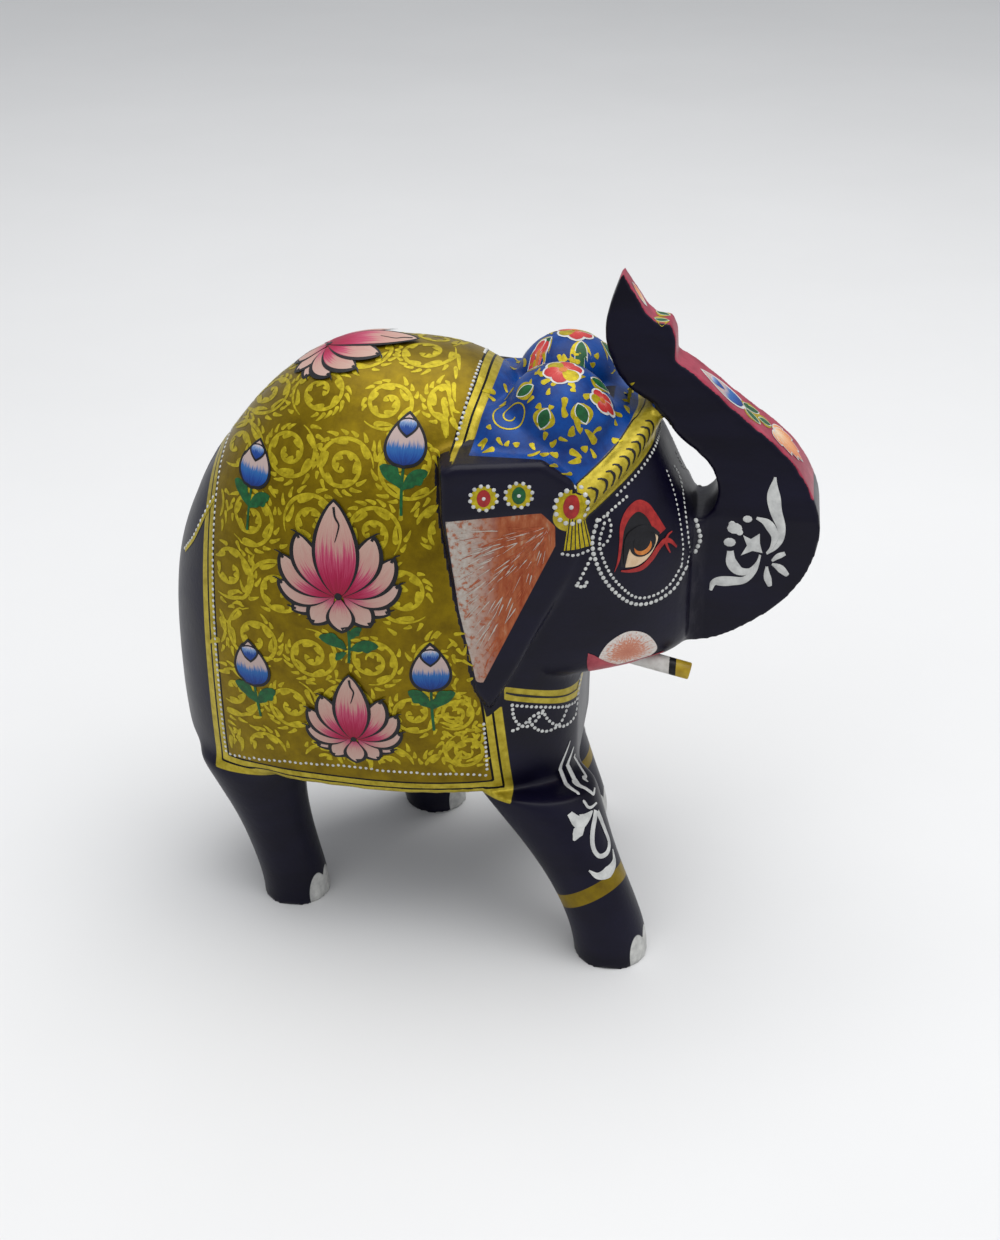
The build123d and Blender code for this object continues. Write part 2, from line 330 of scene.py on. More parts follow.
class Paint:
    """All the strokes of one paint colour, gathered into one object."""

    def __init__(self, name, material, slot_name):
        self.name, self.material, self.slot_name = name, material, slot_name
        self.verts, self.faces, self.uvs, self.count = [], [], [], 0

    def grid(self, places, uv, outward):
        """Adds a grid of faces, turned to face the same way as outward."""
        n, m = places.shape[:2]
        self.verts.append(places.reshape(-1, 3))
        index = self.count + np.arange(n * m).reshape(n, m)
        quads = np.stack([index[:-1, :-1], index[1:, :-1], index[1:, 1:], index[:-1, 1:]], axis=-1)
        faces = quads.reshape(-1, 4)
        facing = np.cross(places[1:, :-1] - places[:-1, :-1], places[:-1, 1:] - places[:-1, :-1]) @ outward
        self.faces.append(faces[:, ::-1] if facing.sum() < 0 else faces)
        self.uvs.append(uv.reshape(-1, 2))
        self.count += n * m

    def between(self, sheet, left, right, share, rise, uv):
        """Skin from one flat line to another, raised by rise at each share of the way."""
        flat = left[:, None, :] * (1 - share)[None, :, None] + right[:, None, :] * share[None, :, None]
        lifts = np.broadcast_to(rise, flat.shape[:2])
        places, normals = sheet.place(flat.reshape(-1, 2), lifts.reshape(-1))
        self.grid(places.reshape(*flat.shape[:2], 3), uv, normals.mean(axis=0))

    def patch(self, sheet, left, right, lift, across=4, bulge=0.0):
        """Fills between two flat lines of equal length. UV: across, along."""
        share = np.linspace(0, 1, across + 1)
        rise = lift + bulge * (1 - (2 * share - 1) ** 2)
        self.between(sheet, left, right, share, rise, pairs(share[None, :], shares(len(left))))

    def fill(self, sheet, outline, lift, across=6, bulge=0.0):
        """Fills a closed flat outline. UV: round the edge, from the edge to the middle."""
        outline = np.vstack([outline, outline[:1]])
        middle = np.repeat(outline[:-1].mean(axis=0)[None], len(outline), axis=0)
        share = np.linspace(0, 1, across + 1)
        rise = lift + bulge * np.sin(share * np.pi / 2)
        self.between(sheet, outline, middle, share, rise, pairs(shares(len(outline)), share[None, :]))

    def ribbon(self, sheet, line, width, lift=0.12, bulge=0.05, across=2):
        """A stroke of true width along a flat line, whatever the slope of the surface."""
        centre, normal = sheet.place(line, 0)
        aside = np.cross(normal, np.gradient(centre, axis=0))
        aside /= np.linalg.norm(aside, axis=1, keepdims=True) + 1e-9
        share = np.linspace(-1, 1, across + 1)
        half = np.broadcast_to(np.asarray(width, float) / 2, len(line))[:, None, None]
        rise = (lift + bulge * (1 - share ** 2))[None, :, None]
        places = centre[:, None] + aside[:, None] * share[None, :, None] * half + normal[:, None] * rise
        self.grid(places, pairs((share[None, :] + 1) / 2, shares(len(line))), normal.mean(axis=0))

    def dots(self, sheet, centres, radius, height=0.65, lift=-0.08, long=1.0, heading=(1, 0)):
        """Round drops of relief paint; long stretches them along the heading."""
        centres = np.atleast_2d(np.asarray(centres, float))
        sizes = np.broadcast_to(radius, len(centres))
        if centres.shape[1] == 3:
            headings = np.gradient(centres, axis=0)
        else:
            headings = np.broadcast_to(np.asarray(heading, float), centres.shape)
        spots, normals = sheet.place(centres, lift)
        ahead = sheet.place(centres + 0.3 * headings, lift)[0] - spots
        turn = np.linspace(0, 2 * np.pi, 11)
        reach = np.sin(np.linspace(0, np.pi / 2, 4))[::-1]
        for spot, normal, fore, size in zip(spots, normals, ahead, sizes):
            fore = fore - (fore @ normal) * normal
            fore /= np.linalg.norm(fore) + 1e-9
            aside = np.cross(normal, fore)
            ring = np.cos(turn)[:, None] * fore * long + np.sin(turn)[:, None] * aside
            rise = height * np.sqrt(np.clip(1 - reach ** 2, 0, 1))
            places = spot + size * (reach[:, None, None] * ring[None] + rise[:, None, None] * normal)
            self.grid(places, pairs(turn[None, :] / 6.3, reach[:, None]), normal)

    def blade(self, sheet, spine, half_width, lift, across=4, bulge=0.0, full=0.5):
        """A leaf or petal: pointed at both ends, widest at the share "full" of its length."""
        t = np.linspace(0, 1, len(spine))
        power = math.log(0.5) / math.log(full)
        half = half_width * np.sin(np.pi * t ** power) ** 0.75
        away = side_ways(spine) * (half[:, None] + 0.01)
        self.patch(sheet, spine + away, spine - away, lift, across, bulge)

    def build(self):
        """The object of all strokes so far."""
        mesh = bpy.data.meshes.new(self.name)
        mesh.from_pydata((np.concatenate(self.verts) * MM).tolist(), [], np.concatenate(self.faces).tolist())
        loops = np.empty(len(mesh.loops), dtype=np.int64)
        mesh.loops.foreach_get("vertex_index", loops)
        layer = mesh.uv_layers.new(name="UVMap")
        layer.data.foreach_set("uv", np.concatenate(self.uvs)[loops].ravel())
        mesh.polygons.foreach_set("use_smooth", [True] * len(mesh.polygons))
        obj = in_scene(self.name, mesh)
        wear(obj, self.material)
        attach(obj, "root")


class Brush:
    """Turns local drawing coordinates (right, up) into sheet coordinates."""

    def __init__(self, sheet, at, scale=1.0, turn=0.0, right=(1, 0), up=(0, -1)):
        self.sheet, self.at, self.scale = sheet, np.array(at, float), scale
        self.right, self.up = np.array(right, float), np.array(up, float)
        self.c, self.s = math.cos(math.radians(turn)), math.sin(math.radians(turn))

    def to(self, points):
        p = np.atleast_2d(np.asarray(points, float)) * self.scale
        x = p[:, 0] * self.c - p[:, 1] * self.s
        y = p[:, 0] * self.s + p[:, 1] * self.c
        return self.at + x[:, None] * self.right + y[:, None] * self.up


# ---- materials -----------------------------------------------------------------------------
def srgb(r, g, b):
    """Linear colour from 0-255 screen values."""
    def line(c):
        c /= 255
        return c / 12.92 if c <= 0.04045 else ((c + 0.055) / 1.055) ** 2.4
    return (line(r), line(g), line(b), 1.0)


class Shader:
    """A small helper round one material's nodes. Inputs are plain values or other nodes' outputs."""

    def __init__(self, name):
        self.material = bpy.data.materials.new(name)
        self.material.use_nodes = True
        self.tree = self.material.node_tree
        self.surface = self.tree.nodes["Principled BSDF"]

    def feed(self, node, inputs):
        for name, value in inputs.items():
            if isinstance(value, bpy.types.NodeSocket):
                self.tree.links.new(value, node.inputs[name])
            else:
                node.inputs[name].default_value = value

    def node(self, kind, inputs, **values):
        made = self.tree.nodes.new(kind)
        for key, value in values.items():
            setattr(made, key, value)
        self.feed(made, inputs)
        return made

    def place(self, kind):
        """Coordinates on the piece: Object or UV."""
        return self.node("ShaderNodeTexCoord", {}).outputs[kind]

    def split(self, vector):
        return self.node("ShaderNodeSeparateXYZ", {"Vector": vector}).outputs

    def texture(self, vector, scale, detail, rough):
        inputs = {"Vector": vector, "Scale": scale, "Detail": detail, "Roughness": rough}
        return self.node("ShaderNodeTexNoise", inputs).outputs["Fac"]

    def noise(self, scale, detail=4.0, rough=0.55, stretch=(1, 1, 1)):
        """Noise in metres, stretched along an axis for grain and brush marks."""
        fit = self.node("ShaderNodeMapping", {"Vector": self.place("Object"), "Scale": stretch})
        return self.texture(fit.outputs["Vector"], scale, detail, rough)

    def ramp(self, source, stops, constant=False):
        made = self.node("ShaderNodeValToRGB", {"Fac": source})
        ramp = made.color_ramp
        ramp.interpolation = "CONSTANT" if constant else "LINEAR"
        while len(ramp.elements) < len(stops):
            ramp.elements.new(0.5)
        for element, (place, colour) in zip(ramp.elements, stops):
            element.position = place
            element.color = colour
        return made.outputs["Color"]

    def tones(self, source, dark, light, low=0.3, high=0.7):
        return self.ramp(source, ((low, dark), (high, light)))

    def mixed(self, factor, low, high):
        """Colour mix."""
        return self.node("ShaderNodeMix", {0: factor, 6: low, 7: high}, data_type="RGBA").outputs[2]

    def spread(self, source, low, high, out_low=0.0, out_high=1.0):
        inputs = {"Value": source, "From Min": low, "From Max": high, "To Min": out_low, "To Max": out_high}
        return self.node("ShaderNodeMapRange", inputs).outputs["Result"]

    def attribute(self, name):
        return self.node("ShaderNodeAttribute", {}, attribute_name=name).outputs["Fac"]

    def bump(self, source, distance):
        made = self.node("ShaderNodeBump", {"Distance": distance, "Strength": 0.5, "Height": source})
        self.feed(self.surface, {"Normal": made.outputs["Normal"]})

    def finish(self, colour, rough, metal=0.0, gloss=0.3):
        self.feed(self.surface, {"Base Color": colour, "Roughness": rough, "Metallic": metal,
                                 "Specular IOR Level": gloss})
        return self.material


def varied(name, dark, light, rough=0.42, metal=0.0, scale=260, bump=0.00012):
    """One paint colour with brushy unevenness in tone, gloss and thickness."""
    s = Shader(name)
    tone = s.noise(scale, 5, 0.6)
    s.bump(s.noise(scale * 2.2, 3, 0.5), bump)
    colour = s.tones(tone, dark, light, 0.32, 0.68)
    return s.finish(colour, s.spread(tone, 0.3, 0.7, rough - 0.06, rough + 0.08), metal)


def along_petal(name, stops, streak=0.22, streaks_across=26.0):
    """Petal paint: a colour change from base to tip, feathered in fine brush streaks."""
    s = Shader(name)
    across, along, _ = s.split(s.place("UV"))
    place = s.node("ShaderNodeCombineXYZ", {"X": across, "Y": s.spread(along, 0, 1, 0, 0.12)})
    fine = s.texture(place.outputs["Vector"], streaks_across, 3, 0.5)
    shift = s.spread(fine, 0.25, 0.75, -streak, streak)
    total = s.node("ShaderNodeMath", {0: along, 1: shift}, operation="ADD")
    s.bump(fine, 0.00008)
    return s.finish(s.ramp(total.outputs[0], [(at, srgb(*tone)) for at, tone in stops]), 0.45)


BLACK = srgb(9, 8, 12)
NAVY_DARK, NAVY_LIGHT = srgb(4, 2, 20), srgb(14, 12, 36)
GOLD_DARK, GOLD_LIGHT = srgb(100, 80, 0), srgb(136, 114, 2)


# ---- painted regions of the body: signed distances in millimetres, positive inside -----------
OUTSIDE = -5.0  # the distance given to skin that a region cannot reach
CLOTH_REAR, CLOTH_HEM = -97.0, 62.6
CLOTH_FRONT_Z = (60.0, 104.0, 150.0, 195.0, 203.0, 210.0, 216.0)
CLOTH_FRONT_X = (15.2, 10.9, 4.0, -0.3, 1.7, 4.2, 5.2)
BAND_PATH = ((33.0, 44.0, 176.0), (35.0, 42.5, 178.0), (43.0, 36.0, 184.5), (50.0, 27.0, 190.0),
             (54.5, 16.0, 194.5), (57.0, 6.0, 196.8), (57.5, 0.0, 197.0))
BAND_UP = np.array([-0.62, 0.0, 0.78])  # across the headband, towards the cap
BAND_HALF, BAND_LOW_Z = 5.6, 170
DOME_CENTRE, DOME_REACH = (26.5, 16.5, 199.0), 20.6
CAP_LOW_Z, CAP_CREST_Z = 172.0, 203.0
CAP_FRONT_X, TRUNK_ROOT_X = 58.5, 40.0
CAP_HALF_WIDTH = 43.5
PANEL = ((-6.6, 175.5), (24.5, 177.3), (29.0, 172.5), (29.2, 165.5), (5.4, 114.0), (3.0, 114.5),
         (-2.6, 142.0))
PANEL_INNER_Y = 44.5
COLLAR_HALF, COLLAR_REAR_X, COLLAR_FRONT_X = 2.7, 12.0, 60
ANKLET_HALF, ANKLET_REACH = 2.8, 30
ANKLETS = (((44.0, -42.0, 26.8), (-8.0, 3.5, 15.0)), ((22.5, 42.0, 26.8), (-5.0, -3.5, 15.0)))
FEET = ((52.5, -45.5, 13.5), (29.5, 45.5, 13.5), (-72.0, -24.5, 12.6), (-29.0, 46.2, 12.6))
NAIL_ANGLES, NAIL_Z, NAIL_RADIUS, NAIL_SHAPE = (-34, 0, 34), 3.5, 4.6, (1.0, 1.0, 1.9)
EAR = ((-7.4, 193), (-2, 196), (24, 195), (31, 190), (40.6, 159), (34, 144), (27, 127), (16.5, 107),
       (6.2, 98), (0, 131), (-5.3, 161))
TRUNK_OUTER = ((46, 247), (50, 241), (54.5, 234), (57.5, 231), (63, 230.5), (65, 226), (65.5, 217.5),
               (74, 212.5), (84, 204), (97, 194), (107, 185), (114, 174), (117.5, 163))
TRUNK_Z, TRUNK_HALF_WIDTHS = (165.0, 247.0), (15.0, 4.0)
RED_DEPTH, RED_MARGIN, RED_END_Z = 2.4, 0.45, 172.5
JOINT_X, JOINT_HALF, JOINT_TOP_Z = 74.5, 3.5, 176


def polygon_distance(x, z, corners):
    """Signed distance to a polygon, positive inside."""
    c = np.asarray(corners, float)
    nearest = np.full(len(x), 1e9)
    inside = np.zeros(len(x), bool)
    for (ax, az), (bx, bz) in zip(c, np.roll(c, -1, axis=0)):
        ex, ez = bx - ax, bz - az
        t = np.clip(((x - ax) * ex + (z - az) * ez) / (ex * ex + ez * ez), 0, 1)
        nearest = np.minimum(nearest, np.hypot(x - ax - t * ex, z - az - t * ez))
        crosses = (az > z) != (bz > z)
        with np.errstate(divide="ignore", invalid="ignore"):
            inside ^= crosses & (x < (bx - ax) * (z - az) / (bz - az) + ax)
    return np.where(inside, nearest, -nearest)


def path_distance(p, path):
    """Distance to a polyline in space, and where along it the nearest point is."""
    c = np.asarray(path, float)
    best = np.full(len(p), 1e9)
    foot = np.zeros((len(p), 3))
    for a, b in zip(c[:-1], c[1:]):
        e = b - a
        t = np.clip(((p - a) @ e) / (e @ e), 0, 1)[:, None]
        spot = a + t * e
        d = np.linalg.norm(p - spot, axis=1)
        nearer = d < best
        best[nearer], foot[nearer] = d[nearer], spot[nearer]
    return best, foot


def cloth_front(z):
    return np.interp(z, CLOTH_FRONT_Z, CLOTH_FRONT_X)


def cloth_distance(p, n):
    lean = np.sqrt(np.clip(1 - n[:, 0] ** 2, 0.12, 1))
    rear = (p[:, 0] - CLOTH_REAR) / lean
    hem = np.minimum(p[:, 2] - CLOTH_HEM, (n[:, 2] + 0.8) * 5.0 + np.clip(p[:, 2] - 66, 0, 60))
    return np.minimum.reduce([rear, cloth_front(p[:, 2]) - p[:, 0], hem])


def anklet_distance(p, centre, along):
    """Distance above the plane through the centre, across the leg, near that leg only."""
    along = np.array(along) / np.linalg.norm(along)
    offset = p - centre
    near = np.linalg.norm(offset - (offset @ along)[:, None] * along, axis=1) < ANKLET_REACH
    return np.where(near, ANKLET_HALF - np.abs(offset @ along), OUTSIDE)


def nail_distance(p):
    nail = np.full(len(p), OUTSIDE)
    for foot_x, foot_y, radius in FEET:
        for angle in NAIL_ANGLES:
            centre = np.append((foot_x, foot_y) + radius * unit(math.radians(angle)), NAIL_Z)
            nail = np.maximum(nail, NAIL_RADIUS - np.linalg.norm((p - centre) / NAIL_SHAPE, axis=1))
    return nail


def painted_regions(p, n):
    """Every region's distance, at skin points p with the normals n."""
    x, y, z = p.T
    mirrored = np.stack([x, np.abs(y), z], axis=1)
    cloth = cloth_distance(p, n)
    band_far, band_foot = path_distance(mirrored, BAND_PATH)
    on_dome = DOME_REACH - np.linalg.norm(mirrored - DOME_CENTRE, axis=1)
    clear_of_trunk = np.maximum.reduce([CAP_CREST_Z - z, TRUNK_ROOT_X - x, on_dome])
    cap = np.minimum.reduce([clear_of_trunk, CAP_FRONT_X - x, (mirrored - band_foot) @ BAND_UP,
                             CAP_HALF_WIDTH - mirrored[:, 1], x - cloth_front(z), z - CAP_LOW_Z])
    collar_z = 105.8 - 0.36 * (x - 15.0)
    collar = np.minimum.reduce([COLLAR_HALF - np.abs(z - collar_z), x - COLLAR_REAR_X, COLLAR_FRONT_X - x])
    # the cloth stops at the ear: beside its outline, and on its rear edge
    off_ear = np.where(mirrored[:, 1] > 30, -polygon_distance(x, z, EAR) - 0.3, 5.0)
    off_ear[(mirrored[:, 1] > 40) & (np.abs(x) < 12) & (z > 96) & (z < 198) & (n[:, 0] < -0.3)] = -1.0
    outer_far, _ = path_distance(p * (1, 0, 1), [(x, 0, z) for x, z in TRUNK_OUTER])
    half_width = np.interp(z, TRUNK_Z, TRUNK_HALF_WIDTHS)
    return {
        "cloth": cloth,
        "cloth_here": np.minimum(cloth, off_ear),
        "band": np.where(z > BAND_LOW_Z, BAND_HALF - band_far, OUTSIDE),
        "cap": cap,
        "panel": np.where(mirrored[:, 1] > PANEL_INNER_Y, polygon_distance(x, z, PANEL), OUTSIDE),
        "panel_tone": np.clip((x + 7) / 36, 0, 1),
        "collar": collar,
        "anklet": np.maximum.reduce([anklet_distance(p, *anklet) for anklet in ANKLETS]),
        "nail": nail_distance(p),
        "red": np.minimum.reduce([RED_DEPTH - outer_far, half_width - RED_MARGIN - np.abs(y), z - RED_END_Z]),
        "joint": np.where(z < JOINT_TOP_Z, JOINT_HALF - np.abs(x - JOINT_X), OUTSIDE),
    }


def body_material():
    s = Shader("painted_body")
    white_mask, grey_mask, black_mask = ((v, v, v, 1) for v in (1, 0.5, 0))

    def inside(region, low=-0.12, high=0.12):
        """0 outside and 1 inside a region's edge."""
        return s.spread(s.attribute(region), low, high)

    # blue-black house paint over wood: soft streaks along the grain
    grain = s.noise(55, 5, 0.6, (0.25, 1, 1))
    colour = s.tones(grain, NAVY_DARK, NAVY_LIGHT, 0.35)
    # saddle cloth with its double border, ten millimetres wide
    gold = s.tones(s.noise(120, 5, 0.65), GOLD_DARK, GOLD_LIGHT, 0.3, 0.72)
    stripe = s.tones(s.noise(300, 4, 0.6), srgb(150, 132, 26), srgb(192, 174, 62))
    border = s.ramp(s.spread(s.attribute("cloth"), 0, 10), (
        (0.0, white_mask), (0.28, black_mask), (0.36, white_mask), (0.60, black_mask),
        (0.68, grey_mask)), True)
    stripes = s.mixed(s.spread(border, 0.55, 0.95), gold, stripe)
    clothed = s.mixed(s.spread(border, 0.45, 0.05), stripes, BLACK)
    on_cloth, on_band = inside("cloth_here"), inside("band")
    blue = s.tones(s.noise(90, 5, 0.65), srgb(4, 38, 100), srgb(12, 74, 154))
    # ear panel, orange in front and pale behind
    orange = s.ramp(s.noise(420, 3, 0.6, (1, 1, 0.35)), (
        (0.34, srgb(140, 58, 26)), (0.6, srgb(164, 92, 56)), (0.76, srgb(176, 136, 108))))
    pale = s.ramp(s.noise(520, 3, 0.6), (
        (0.36, srgb(160, 98, 72)), (0.46, srgb(170, 158, 148)), (0.7, srgb(186, 180, 172))))
    ear_colour = s.mixed(s.spread(s.attribute("panel_tone"), 0.18, 0.5), pale, orange)
    white = s.tones(s.noise(300, 3), srgb(168, 168, 166), srgb(206, 206, 202))
    red = s.tones(s.noise(160, 4), srgb(132, 34, 56), srgb(168, 62, 82))
    # grey patches where the trunk meets the forehead: partly worn paint and filler in the joint, partly a
    # painted highlight on the forehead's face
    wear_and_highlight_share = s.spread(s.noise(140, 5, 0.7, (1, 1, 0.4)), 0.45, 0.7, 0.05, 0.4)
    grey_wear_and_highlight = s.mixed(wear_and_highlight_share, colour, srgb(92, 90, 98))
    for mask, layer in ((inside("joint", -1.5, 3.0), grey_wear_and_highlight), (inside("red"), red), (inside("cap"), blue),
                        (inside("panel"), ear_colour), (inside("collar"), stripe), (on_cloth, clothed),
                        (on_band, stripe), (inside("anklet"), gold), (inside("nail"), white)):
        colour = s.mixed(mask, colour, layer)
    shine = s.mixed(on_band, s.mixed(on_cloth, black_mask, grey_mask), (0.4, 0.4, 0.4, 1))
    s.bump(s.noise(700, 4, 0.55), 0.00012)
    return s.finish(colour, s.spread(grain, 0.3, 0.7, 0.32, 0.42), s.spread(shine, 0, 1), 0.2)


regions = painted_regions(per_vertex(body.data.vertices, "co") / MM,
                          per_vertex(body.data.vertex_normals, "vector"))
for name, values in regions.items():
    layer = body.data.attributes.new(name, "FLOAT", "POINT")
    layer.data.foreach_set("value", np.asarray(values, np.float32))
wear(body, body_material())
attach(body, "root")
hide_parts(*BODY_NODES, "trunk")


# ---- paints of the drawn motifs --------------------------------------------------------------
def plain_paint(piece, slot, material, dark, light, rough=0.42, scale=260):
    return Paint(piece, varied(material, srgb(*dark), srgb(*light), rough, 0, scale), slot)


def petal_paint(piece, slot, material, stops, streak, streaks_across=26.0):
    return Paint(piece, along_petal(material, stops, streak, streaks_across), slot)


GOLD_STROKE = varied("gold_stroke", srgb(150, 132, 6), srgb(196, 178, 34), 0.42, 0.45, 500)
COLOUR, BLUE, WHITE = "colour_paint", "blue_paint", "white_paint"  # slots
scrolls = Paint("gold_scrolls", GOLD_STROKE, "gold_paint")
gold_flecks = Paint("gold_flecks", GOLD_STROKE, "gold_paint")
lines = plain_paint("black_lines", COLOUR, "black_line", (9, 8, 12), (24, 24, 30), 0.4)
relief = plain_paint("white_relief", WHITE, "white_relief", (176, 177, 176), (214, 215, 212), 0.4)
greens = plain_paint("green_leaves", COLOUR, "green_leaf", (8, 62, 30), (16, 96, 48), 0.42, 420)
reds = plain_paint("red_marks", COLOUR, "red_paint", (136, 22, 26), (172, 44, 40), 0.4, 420)
oranges = plain_paint("orange_marks", COLOUR, "orange_paint", (184, 98, 34), (214, 138, 66), 0.4, 420)
creams = plain_paint("cream_marks", COLOUR, "cream_paint", (206, 176, 140), (224, 198, 166), 0.42, 420)
mouths = plain_paint("mouth_marks", COLOUR, "mouth_red", (140, 40, 56), (176, 74, 84), 0.42, 300)
ear_orange = plain_paint("ear_orange_strokes", COLOUR, "ear_orange", (150, 62, 28), (174, 92, 54), 0.45, 500)
ear_white = plain_paint("ear_white_strokes", WHITE, "ear_white", (172, 158, 146), (190, 182, 172), 0.45, 500)
petals = petal_paint("lotus_petals", COLOUR, "lotus_petal", (
    (0.0, (140, 2, 44)), (0.24, (160, 14, 66)), (0.44, (178, 70, 100)), (0.62, (184, 140, 130)),
    (1.0, (188, 160, 146))), 0.18)
pale_petals = petal_paint("lotus_outer_petals", COLOUR, "outer_petal", (
    (0.0, (160, 24, 72)), (0.2, (178, 84, 108)), (0.44, (184, 142, 132)), (1.0, (190, 162, 150))), 0.18)
buds = petal_paint("blue_buds", BLUE, "blue_bud", (
    (0.0, (6, 36, 104)), (0.16, (12, 66, 142)), (0.34, (36, 96, 160)), (0.46, (180, 160, 156)),
    (1.0, (190, 166, 158))), 0.09)
bud_drops = petal_paint("bud_drops", BLUE, "blue_drop", (
    (0.0, (206, 186, 184)), (0.2, (120, 150, 190)), (0.5, (14, 66, 142)), (1.0, (8, 44, 116))), 0.2)
cheeks = petal_paint("cheek_patches", COLOUR, "cheek_patch", (
    (0.0, (214, 208, 202)), (0.25, (206, 190, 182)), (0.5, (200, 134, 108)), (1.0, (186, 112, 88))), 0.45, 70)
blooms = petal_paint("cap_flowers", COLOUR, "cap_flower", (
    (0.0, (216, 170, 150)), (0.35, (196, 64, 60)), (1.0, (168, 26, 34))), 0.3, 30)
trunk_blooms = petal_paint("trunk_flowers", COLOUR, "orange_flower", (
    (0.0, (222, 204, 178)), (0.4, (220, 160, 110)), (1.0, (206, 112, 70))), 0.3, 30)
ALL_PAINT = (lines, relief, scrolls, gold_flecks, greens, petals, pale_petals, buds, bud_drops, reds, oranges,
             creams, cheeks, mouths, blooms, trunk_blooms, ear_orange, ear_white)

LINE_WIDTH = 0.75


# ---- flat drawings ---------------------------------------------------------------------------
def petal_spine(angle, length, bow, start):
    """A petal's middle line from its root; bow pushes the middle outward and down."""
    lean = math.radians(angle)
    tip = np.array([math.sin(lean), math.cos(lean)]) * length + start
    out = np.array([math.cos(lean), -math.sin(lean)]) * (1 if angle > 0 else -1)
    return bent(np.array(start), (tip + start) / 2 + out * bow, tip, 22)


# angle, length, half width and bow, from the lowest layer to the highest
HALF_LOTUS = ((112, 0.47, 0.10, -0.05), (141, 0.40, 0.11, -0.04), (180, 0.38, 0.12, 0.0),
              (77, 0.58, 0.10, 0.15), (52, 0.68, 0.11, 0.17), (29, 0.74, 0.13, 0.13), (0, 1.0, 0.215, 0.0))
LOTUS = [(hand * angle, *rest) for angle, *rest in HALF_LOTUS for hand in ((1, -1) if angle % 180 else (1,))]


def lotus(brush, layer=0.16):
    """A water lily with its root at the brush; the middle petal is one unit long."""
    sheet, scale = brush.sheet, brush.scale
    for order, (angle, length, half, bow) in enumerate(LOTUS):
        lift = layer + 0.07 * order
        start = (0.07 * math.sin(math.radians(angle)), 0.05)
        spine = petal_spine(angle, length, bow, start)
        full = 0.6 if angle else 0.46
        outline = brush.to(petal_spine(angle, length + 0.035, bow, start))
        lines.blade(sheet, outline, half * scale + LINE_WIDTH * 1.7, lift, 4, 0, full)
        paint = petals if abs(angle) < 60 else pale_petals
        paint.blade(sheet, brush.to(spine), half * scale, lift + 0.03, 4, 0.01, full)
        if angle:
            outward = math.copysign(0.08, angle)
            tip = spine[-1]
            hook = brush.to(np.array([spine[-2], tip + (outward * 0.35, 0.03), tip + (outward, 0.045)]))
            lines.ribbon(sheet, curve(hook), np.linspace(1.1, 0.3, len(curve(hook))), lift + 0.05)
    top = layer + 0.07 * len(LOTUS) + 0.05
    lines.fill(sheet, brush.to(ring_points((0.0, 0.06), 0.04, 0.04, 12)), top)
    vein = curve(brush.to([(0.0, 1.0), (0.012, 0.9), (0.05, 0.82), (0.03, 0.73), (0.0, 0.64)]), 0.5)
    lines.ribbon(sheet, vein, np.linspace(0.9, 0.3, len(vein)), top)


def ring_points(centre, across, up, count=28, start=0.0):
    turn = np.linspace(0, 2 * np.pi, count, endpoint=False) + start
    return np.stack([centre[0] + across * np.cos(turn), centre[1] + up * np.sin(turn)], axis=1)


def egg_shape(paint, brush, base, height, half, lift, bulge=0.0, down=False):
    """A bud outline from its base: round at the root, pointed at the tip."""
    t = np.linspace(0, 1, 26)
    shape = t ** 0.5 * (1 - t) ** 0.95
    width = half * shape / shape.max()
    y = base - t * height if down else base + t * height
    sides = [brush.to(np.stack([hand * width, y], 1)) for hand in SIDES]
    paint.patch(brush.sheet, *sides, lift, 6, bulge)


def leaf(paint, brush, root, tip, half, lift, bow=0.15):
    """A leaf from its root to its tip, lobed along one edge."""
    root, tip = np.array(root, float), np.array(tip, float)
    along = tip - root
    out = np.array([along[1], -along[0]])
    spine = brush.to(bent(root, (root + tip) / 2 + out * bow, tip, 24))
    t = shares(24)
    width = half * brush.scale * np.sin(np.pi * t ** 1.25) ** 0.7
    wavy = width * (0.8 + 0.32 * np.abs(np.sin(2.5 * np.pi * t)))
    away = side_ways(spine)
    paint.patch(brush.sheet, spine + away * (wavy + 0.02), spine - away * (width * 0.8 + 0.02), lift, 4, 0.04)


def bud(brush, stem=(0.4, -15.0)):
    """A blue bud standing on a stem with two leaves; millimetres, root of the bud at the brush."""
    bend = curve(brush.to([(0, 0.5), (stem[0] * 0.2, stem[1] * 0.5), stem]))
    greens.ribbon(brush.sheet, bend, 1.0, 0.2, 0.06)
    leaf(greens, brush, (-0.4, -7.5), (-8.0, -0.6), 2.9, 0.24, 0.2)
    leaf(greens, brush, (0.5, -8.0), (8.3, -1.4), 2.9, 0.24, -0.2)
    egg_shape(lines, brush, -0.9, 20.0, 7.3, 0.30)
    egg_shape(buds, brush, 0.2, 17.6, 6.3, 0.34, 0.04)
    egg_shape(lines, brush, 16.6, 7.2, 3.7, 0.42, 0.0, True)
    egg_shape(bud_drops, brush, 16.0, 5.6, 2.9, 0.46, 0.03, True)


def comma(paint, sheet, start, angle, length, width, lift, hook=0.25):
    """A comma-shaped brush mark: full at its head and thin at its tail."""
    a = math.radians(angle)
    t = shares(9)
    line = np.array(start) + unit(a) * length * t + unit(a + np.pi / 2) * hook * length * t ** 2
    t = t[:, 0]
    paint.ribbon(sheet, line, width * (1 - t) ** 0.5 * np.minimum(1, t * 5 + 0.35) + 0.12, lift, 0.04)


